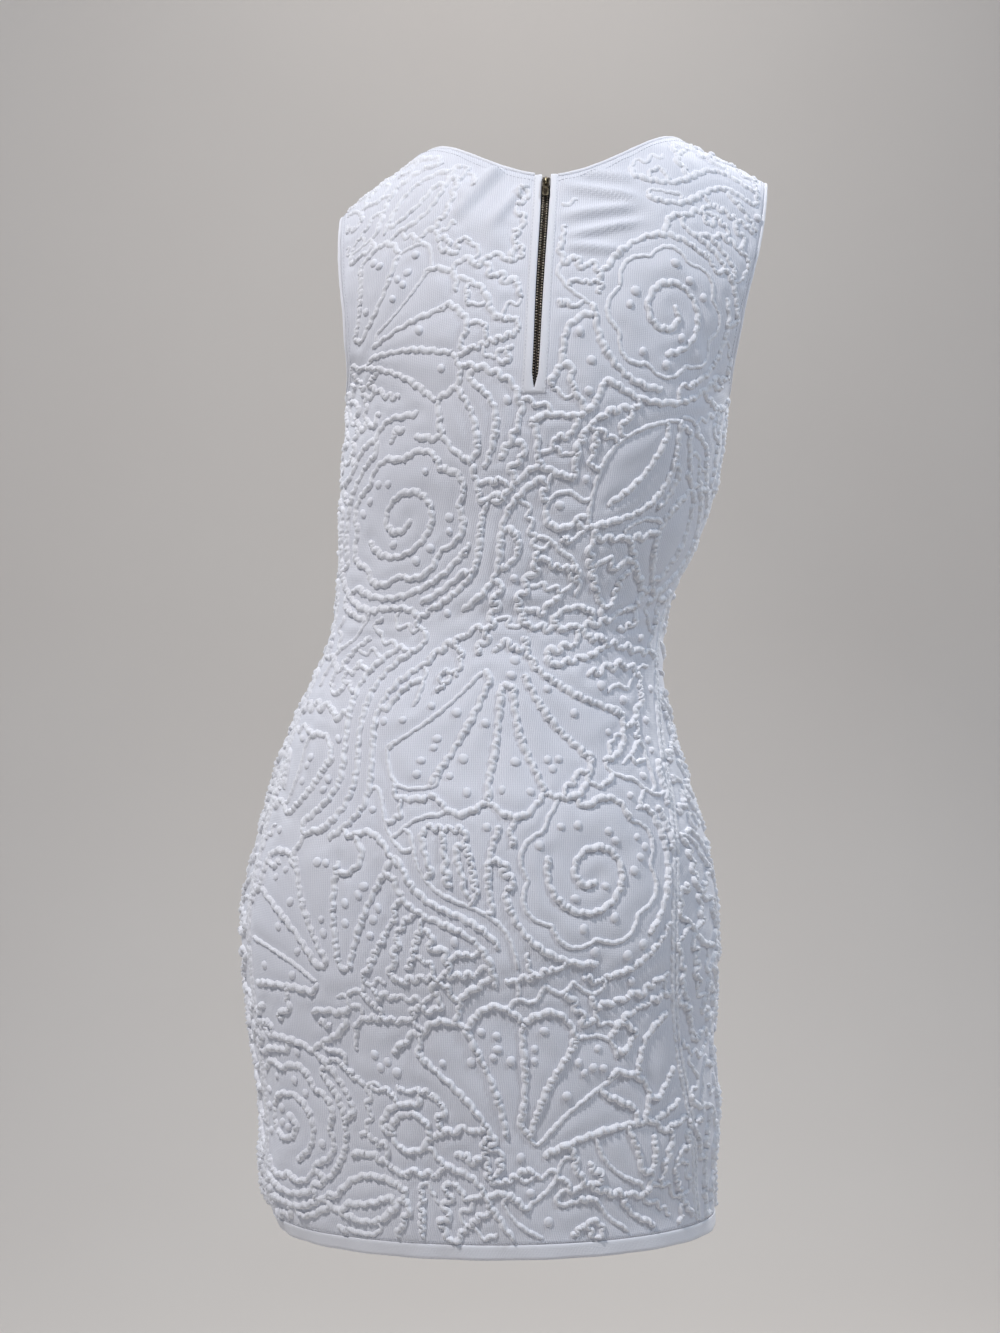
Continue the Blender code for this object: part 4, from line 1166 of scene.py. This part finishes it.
def hem_rings():
    """The hem band's section all round: a folded edge, a flat face and a rounded lip at the top."""
    section = np.array((
        (0.0003, -0.0018), (-0.0002, -0.0006), (0.0003, 0.0004), (0.0030, 0.0006), (0.0090, 0.0006),
        (0.0112, 0.0008), (0.0120, 0.0003), (0.0120, -0.0018),
    ))
    v = np.maximum(section[:, 0], 0.0)
    rings, flats = [], []
    for panel, angles in (("back", np.linspace(-90, 90, 161)[:-1]), ("front", np.linspace(90, -90, 161)[:-1])):
        for angle in angles:
            u = math.copysign(1, angle) * around(abs(angle), v)
            out = section[:, 1] + 0.0004 * math.sin(math.radians(angle) * 23) * (v < 0.006)
            rings.append(cloth(panel, u, v, out))
            flats.append(np.stack([u, v], -1))
    return np.array(rings), np.array(flats)


# ---- The zip ------------------------------------------------------------------------------------

TOOTH_STEP = 0.0022  # from one tooth to the next on the same side
SLIDER_DROP = 0.0052  # from the neck's edge to the middle of the slider
# The sizes of the slider and its tab, in millimetres.
SLIDER_HALF = (2.6, 4.5)
SLIDER_DEPTH = (-3.2, 1.2)
HINGE = (1.1, 2.15)
PULL_HALF = 2.5
PULL_THICK = 1.1
PULL_LENGTH = 16.5
MM = 0.001


def zip_frame(v):
    """The place of a piece of the zip at height v: x across, y up the zip, z out of the cloth."""
    origin = Vector(cloth("back", ZIP_U, v).tolist())
    up = Vector((cloth("back", ZIP_U, v + 0.004) - cloth("back", ZIP_U, v - 0.004)).tolist()).normalized()
    out = Vector((cloth("back", ZIP_U, v, 0.01) - cloth("back", ZIP_U, v)).tolist()).normalized()
    across = up.cross(out).normalized()
    out = across.cross(up)
    return Matrix.Translation(origin) @ Matrix((across, up, out)).transposed().to_4x4()


def slider_frame():
    return zip_frame(float(neck_edge("back", 0)) - SLIDER_DROP)


def moved(*place):
    """The matrix that moves by so many millimetres."""
    return Matrix.Translation([c * MM for c in place])


def plate(name, loops, thickness, bevel, place=Matrix()):
    """A plate from closed outlines in millimetres, its edges rounded, centred on z = 0 and then moved."""
    curve = bpy.data.curves.new(name, "CURVE")
    curve.dimensions = "2D"
    curve.fill_mode = "BOTH"
    curve.extrude = (thickness / 2 - bevel) * MM
    curve.bevel_depth = bevel * MM
    curve.bevel_resolution = 2
    curve.offset = -bevel * MM
    for loop in loops:
        spline = curve.splines.new("POLY")
        spline.points.add(len(loop) - 1)
        for point, (x, y) in zip(spline.points, loop):
            point.co = (x * MM, y * MM, 0, 1)
        spline.use_cyclic_u = True
    made = frozen(add_object(name, curve))
    made.data.transform(place)
    return made


def round_box(x, low, high, radius):
    """A closed outline with round corners."""
    points = []
    for cx, cy, start in (
        (x - radius, high - radius, 0), (radius - x, high - radius, 90),
        (radius - x, low + radius, 180), (x - radius, low + radius, 270),
    ):
        for turn in np.radians(np.linspace(start, start + 90, 5)):
            points.append((cx + radius * math.cos(turn), cy + radius * math.sin(turn)))
    return points


def metal_piece(name, plates, finishes, place):
    """One piece from several plates, each with its own finish, put in its place."""
    bpy.ops.object.select_all(action="DESELECT")
    for piece, finish in zip(plates, finishes):
        piece.data.materials.clear()
        piece.data.materials.append(finish)
        piece.select_set(True)
    made = plates[0]
    bpy.context.view_layer.objects.active = made
    bpy.ops.object.join()
    made.name = name
    made.data.name = name
    made.data.transform(place)
    outward(made.data)
    made.data.shade_smooth()
    made.data.set_sharp_from_angle(angle=math.radians(40))
    return made


def make_slider(finish, highlight_brass):
    """The slider: two plates held apart by a wedge, with a rounded bridge on the outer one, whose brighter brass is a
    painted highlight.
    """
    x, y = SLIDER_HALF
    low, high = SLIDER_DEPTH
    wedge = [(-0.3, 0), (0.3, 0), (0.9, y - 0.4), (-0.9, y - 0.4)]
    arch = [
        (-3.3, high - 0.5), (3.3, high - 0.5), (3.3, high + 1.7), (2.6, high + 2.8), (1.6, high + 3.2),
        (-1.6, high + 3.2), (-2.6, high + 2.8), (-3.3, high + 1.7),
    ]
    hole = [(-2.2, high), (2.2, high), (2.2, high + 1.3), (1.5, high + 2.1), (-1.5, high + 2.1), (-2.2, high + 1.3)]
    on_edge = Matrix(((0, 0, 1, 0), (1, 0, 0, 0), (0, 1, 0, 0), (0, 0, 0, 1)))
    plates = [
        plate("slider_top", [round_box(x, -y, y, 1.3)], 1.5, 0.35, moved(0, 0, high - 0.75)),
        plate("slider_under", [round_box(x, -y, y, 1.3)], 1.2, 0.3, moved(0, 0, low + 0.6)),
        plate("slider_wedge", [wedge], 2.2, 0.1, moved(0, 0, (low + high) / 2)),
    ]
    for side in (1, -1):
        lip = round_box(0.35, 0.6 - y, y - 1.6, 0.3)
        plates.append(plate("slider_lip", [lip], 1.0, 0.15, moved(side * (x - 0.36), 0, high - 1.8)))
    plates.append(plate("slider_bridge", [arch, hole], 1.6, 0.25, on_edge))
    return metal_piece("slider", plates, [finish] * 5 + [highlight_brass], slider_frame())


def make_pull(finish, highlight_brass):
    """The pull tab, hanging from the bridge: a rounded plate with a slot, a waist and a raised rim, the rim in
    brighter brass as a painted highlight.
    """
    half, long = PULL_HALF, PULL_LENGTH
    outer = [
        (-half, 2.2 - long), (-half + 0.5, 0.7 - long), (-half + 1.7, -long), (half - 1.7, -long),
        (half - 0.5, 0.7 - long), (half, 2.2 - long), (half, -8.4), (half - 0.35, -7.4), (half, -6.4),
        (half, -1.2), (half - 0.7, 0.3), (half - 1.2, 0.55), (1.2 - half, 0.55), (0.7 - half, 0.3),
        (-half, -1.2), (-half, -6.4), (0.35 - half, -7.4), (-half, -8.4),
    ]
    rim = [round_box(half - 0.45, 0.45 - long, -8.2, 1.0), round_box(half - 0.85, 0.85 - long, -8.6, 0.7)]
    plates = [
        plate("pull_plate", [outer, round_box(1.25, -6.2, -0.55, 0.5)], PULL_THICK, 0.22),
        plate("pull_rim", rim, 0.3, 0.06, moved(0, 0, PULL_THICK / 2 + 0.08)),
    ]
    return metal_piece("pull_tab_plate", plates, [finish, highlight_brass], slider_frame() @ moved(0, *HINGE))


def make_stops(finish):
    """The two metal stops at the top of the zip, one on each tape, above the slider."""
    stop = round_box(0.75, -1.1, 1.1, 0.4)
    stops = [plate("zip_stop", [stop], 1.9, 0.3, moved(side * 2.0, 0, -1.4)) for side in (-1, 1)]
    return metal_piece("zip_top_stops", stops, [finish] * 2, zip_frame(float(neck_edge("back", 0)) - 0.0007))


def teeth_lines(v_low, v_high, offset, depth):
    """A line for each side's teeth, half a step apart so that they mesh, with the outward vectors."""
    paths, outs = [], []
    for side in (-1, 1):
        shift = TOOTH_STEP / 4 * side
        v = np.linspace(v_low + shift, v_high + shift, 160)
        face, _, _, out = cloth_frame("back", np.full(160, ZIP_U + side * offset), v)
        paths.append(face - out * (depth - 0.0002 * side))
        outs.append(out)
    return paths, np.concatenate(outs)


def tape_edges(finish, v_low, v_high):
    """The inner edges of the two tapes, which the teeth grip."""
    made = []
    for name, low, high in (("left", 0.0002, 0.0032), ("right", -0.0032, -0.0002)):
        u = ZIP_U + np.array([low, high, high, low])
        depth = np.array([-0.0030, -0.0030, -0.0024, -0.0024])
        rings = [cloth("back", u, np.full(4, v), depth) for v in np.linspace(v_low, v_high, 60)]
        made.append(loft(f"zip_tape_edge_{name}", rings, finish))
    return made


# ---- Camera, light and room ---------------------------------------------------------------------

CAMERA_PLACE = (0.0437, 1.60, -0.4317)
PHOTO_SIZE = (1000, 1333)
SCALE_AT_BODY = 0.8247e-3  # metres to a pixel of the photograph, in the plane of the shoulders
SENSOR = 24.0
SKY = {"Color": (0.64, 0.77, 1.0, 1), "Strength": 0.21}
# The lights: place, what each points at, size, power and colour.
LIGHTS = {
    "key": ((1.42, 1.78, 2.35), (0.05, 0.0, -0.60), 0.40, 89, (1.0, 0.98, 0.985)),
    "fill": ((-1.60, 0.90, 1.25), (0.0, 0.0, -0.55), 0.40, 22, (0.80, 0.89, 1.0)),
    "wall_wash": ((0.0, -1.9, 1.9), (0.0, -3.2, -0.2), 1.6, 11, (1.0, 0.97, 0.94)),
    "front_key": ((-1.25, -1.05, 0.95), (0.0, 0.0, -0.45), 0.35, 27, (1.0, 0.985, 0.96)),
    "front_fill": ((1.3, -0.9, 0.8), (0.0, 0.0, -0.4), 0.5, 12, (0.88, 0.94, 1.0)),
}


def make_camera():
    data = bpy.data.cameras.new("camera")
    data.sensor_fit = "VERTICAL"
    data.sensor_height = SENSOR
    data.lens = SENSOR * CAMERA_PLACE[1] / (SCALE_AT_BODY * PHOTO_SIZE[1])
    data.clip_start = 0.02
    made = add_object("camera", data)
    made.location = CAMERA_PLACE
    made.rotation_euler = (math.pi / 2, 0, math.pi)
    bpy.context.scene.camera = made
    bpy.context.scene.view_settings.view_transform = "Standard"


def make_room():
    """A pale floor that curves up into a pale wall, and soft light from above and both sides."""
    floor, wall, bend = -1.62, -3.2, 1.3
    turns = np.radians(np.linspace(6, 90, 15))
    curve = [(wall + bend * (1 - math.sin(a)), floor + bend * (1 - math.cos(a))) for a in turns]
    profile = [(6.0, floor), (wall + bend, floor), *curve, (wall, 4.0)]
    points = np.array([(x, y, z) for y, z in profile for x in (-7.0, 7.0)])
    paint = Finish("pale_room", Roughness=0.95)
    paint.coloured(paint.mixed(paint.noise(1.3, 2.0), (0.66, 0.615, 0.57, 1), (0.70, 0.665, 0.62, 1)))
    mesh_of("room", points, grid_faces(len(profile), 2), paint.material)
    world = bpy.data.worlds.new("studio")
    bpy.context.scene.world = world
    world.use_nodes = True
    for label, value in SKY.items():
        world.node_tree.nodes["Background"].inputs[label].default_value = value
    for name, (place, aim, size, power, colour) in LIGHTS.items():
        data = bpy.data.lights.new(name, "AREA")
        data.shape, data.size, data.energy, data.color = "DISK", size, power, colour
        made = add_object(name, data)
        made.location = place
        made.rotation_euler = (Vector(aim) - Vector(place)).to_track_quat("-Z", "Y").to_euler()


# ---- Putting it together ------------------------------------------------------------------------

KNOT = {"Radius": 0.0036, "Height": 0.0023, "Seed": SEED}
KNOT_SINK = 0.0002  # how far a knot's middle lies under the cloth's surface
STITCH = {"Stitch": 0.0024, "Spacing": 0.0030, "Thickness": 0.00055}
# How far the topstitching lies from the neck, the armholes and the hem band, and how short it stops of a shoulder.
NECK_INSET, ARMHOLE_INSET, HEM_INSET, SHOULDER_STOP = 0.0045, 0.0035, 0.0016, 0.004
STITCH_LIFT = {"cloth": 0.0001, "placket": 0.0004}
TEETH_FOOT = PLACKET_BOTTOM + 0.001
SLIDER_FOOT = float(neck_edge("back", 0)) - SLIDER_DROP - SLIDER_HALF[1] * MM - SEAM_GAP
TOOTH_LENGTH = 0.00095
# The teeth's crowns and heads: how far from the zip's line and how deep they lie, their width and their height.
TEETH = {"zip_teeth_row": (0.0017, 0.0020, 0.0014, 0.0016), "zip_teeth_heads_painted_shade": (0.0004, 0.0027, 0.0016, 0.0013)}


def flat_size(panel):
    """The greatest width of a panel laid flat, its height and its area."""
    v = np.linspace(HEM_BAND, SHOULDER_SEAM, 400)
    width = side_edge(panel, 1, v) - side_edge(panel, -1, v)
    u = np.linspace(-NECK_HALF, NECK_HALF, 200)
    neck = float(np.mean(SHOULDER_SEAM - neck_edge(panel, u)) * 2 * NECK_HALF)
    area = float(np.mean(width) * (v[-1] - v[0])) - neck
    if panel == "back":
        area -= 2 * NOTCH * (float(neck_edge("back", 0)) - PLACKET_BOTTOM)
    return float(width.max()), float(v[-1] - v[0]), area


def make_panel(panel, knit, corded, knots):
    cords, dots = drawn_relief(panel)
    ground = Ground(panel, cords)
    shell = dress_shell(panel, ground, knit)
    relief = relief_mesh(panel, cords, ground, np.random.default_rng(RIPPLE_SEED + (panel == "front")), corded)
    places, out = on_cloth(panel, np.array(dots), ground, -KNOT_SINK)
    dotted = knots.run(line_object(f"{panel}_dots", [place[None] for place in places], out), corded, **KNOT)
    dotted.data.shade_smooth()
    return ground, shell, relief, dotted


def make_trims(plain):
    """The bindings, the hem band and the placket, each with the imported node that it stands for."""
    neck = (
        ("back", neck_run("back", ZIP_U + NOTCH, NECK_HALF, 60)[:-1]),
        ("front", neck_run("front", NECK_HALF, -NECK_HALF, 121)),
        ("back", neck_run("back", -NECK_HALF, ZIP_U - NOTCH, 60)[1:]),
    )
    trims = [("neck_edge_binding", "neck_binding", False, edge_rings(neck, -1))]
    for name, side in (("left", 1), ("right", -1)):
        runs = (("back", armhole_run("back", side)[:-1]), ("front", armhole_run("front", side)[::-1][:-1]))
        trims.append((f"armhole_edge_{name}", f"armhole_binding_{name}", True, edge_rings(runs, side)))
    trims.append(("hem_edge_band", "hem_band", True, hem_rings()))
    trims.append(("placket_strip", "zip_placket", False, placket_rings()))
    return [(loft(name, rings, plain, closed, flat), node) for name, node, closed, (rings, flat) in trims]


def make_stitching(grounds, stitches, thread):
    """Topstitching beside the neck, the armholes, the placket and the hem band."""
    paths, outs = [], []

    def add(panel, run, lift=STITCH_LIFT["cloth"]):
        path, out = on_cloth(panel, run, grounds[panel], lift)
        paths.append(path)
        outs.append(out)

    end = NECK_HALF - SHOULDER_STOP
    for panel, start, stop, count in (
        ("back", ZIP_U + NOTCH, end, 60), ("back", -end, ZIP_U - NOTCH, 60), ("front", -end, end, 120),
    ):
        add(panel, sideways(neck_run(panel, start, stop, count), -NECK_INSET))
    for panel in PANELS:
        for side in (1, -1):
            add(panel, sideways(armhole_run(panel, side)[2:-1], side * ARMHOLE_INSET))
        v = HEM_BAND + HEM_INSET
        u = np.linspace(float(side_edge(panel, -1, v)), float(side_edge(panel, 1, v)), 160)
        add(panel, np.stack([u, np.full(160, v)], -1))
    low, top = PLACKET_BOTTOM + 0.0012, float(neck_edge("back", 0)) - 0.001
    half = 0.86 * PLACKET_HALF + 0.0006
    for side in (1, -1):
        up = np.stack([np.full(60, ZIP_U + side * half), np.linspace(low, top, 60)], -1)
        add("back", up, STITCH_LIFT["placket"])
    across = np.stack([ZIP_U + np.linspace(-half, half, 12), np.full(12, low)], -1)
    add("back", across, STITCH_LIFT["placket"])
    return stitches.run(line_object("topstitching", paths, np.concatenate(outs)), thread, **STITCH)


def make_teeth(teeth, metals):
    """The bright crowns of the teeth and, deeper, their heads in dark brass as painted shade between the crowns."""
    rows = []
    for (name, (offset, depth, width, height)), metal in zip(TEETH.items(), metals):
        lines = line_object(name, *teeth_lines(TEETH_FOOT, SLIDER_FOOT, offset, depth))
        sizes = {"Spacing": TOOTH_STEP, "Width": width, "Length": TOOTH_LENGTH, "Height": height}
        rows.append(teeth.run(lines, metal, **sizes))
        rows[-1].data.shade_smooth()
    return rows


def place_in_part(piece, node=None, body="dress"):
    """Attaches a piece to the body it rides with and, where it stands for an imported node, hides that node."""
    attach(piece, body)
    if node:
        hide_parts(node)


def main():
    make_camera()
    make_room()
    rib = rib_group()
    knit = knit_material("white_rib_knit", rib, (0.782, 0.784, 0.822), (0.672, 0.676, 0.728), 0.55)
    corded = knit_material("white_cord_knit", rib, (0.838, 0.836, 0.858), (0.768, 0.766, 0.795), 0.45)
    plain = knit_material("white_plain_knit", rib, (0.828, 0.826, 0.850), (0.778, 0.776, 0.805), 0.3, 0.0011)
    thread, tape = groove_shade_thread_material(), tape_material()
    brass = brass_material("antique_brass", (0.17, 0.14, 0.095), (0.035, 0.028, 0.020), 0.36)
    bright = brass_material("tooth_brass", (0.95, 0.87, 0.74), (0.56, 0.47, 0.37), 0.26)
    # Brighter brass for the slider's bridge and the pull's rim: a painted highlight.
    highlight_brass = brass_material("painted_highlight_brass", (0.70, 0.60, 0.38), (0.16, 0.12, 0.07), 0.28)
    stitches, teeth, knots = stitch_tree(), tooth_tree(), knot_tree()

    grounds, shells = {}, {}
    for panel in PANELS:
        grounds[panel], *shells[panel] = make_panel(panel, knit, corded, knots)
        for piece in shells[panel]:
            place_in_part(piece)
        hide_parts(f"{panel}_panel")

    trims = make_trims(plain)
    for piece, node in trims:
        place_in_part(piece, node)
    stitching = make_stitching(grounds, stitches, thread)
    place_in_part(stitching)

    # The heads take the dark antique brass as painted shade between the crowns.
    row, heads = make_teeth(teeth, (bright, brass))
    place_in_part(heads)
    for edge in tape_edges(tape, TEETH_FOOT, SLIDER_FOOT + 0.004):
        place_in_part(edge)
    place_in_part(make_stops(brass))
    slider, pull = make_slider(brass, highlight_brass), make_pull(brass, highlight_brass)
    place_in_part(row, "zip_chain")
    place_in_part(slider, "zip_slider")
    place_in_part(pull, "zip_pull", "pull_tab")
    for name in ("zip_tape_left", "zip_tape_right"):
        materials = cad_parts[name].data.materials
        materials.clear()
        materials.append(tape)

    for panel, (shell, relief, dotted) in shells.items():
        width, length, area = flat_size(panel)


main()
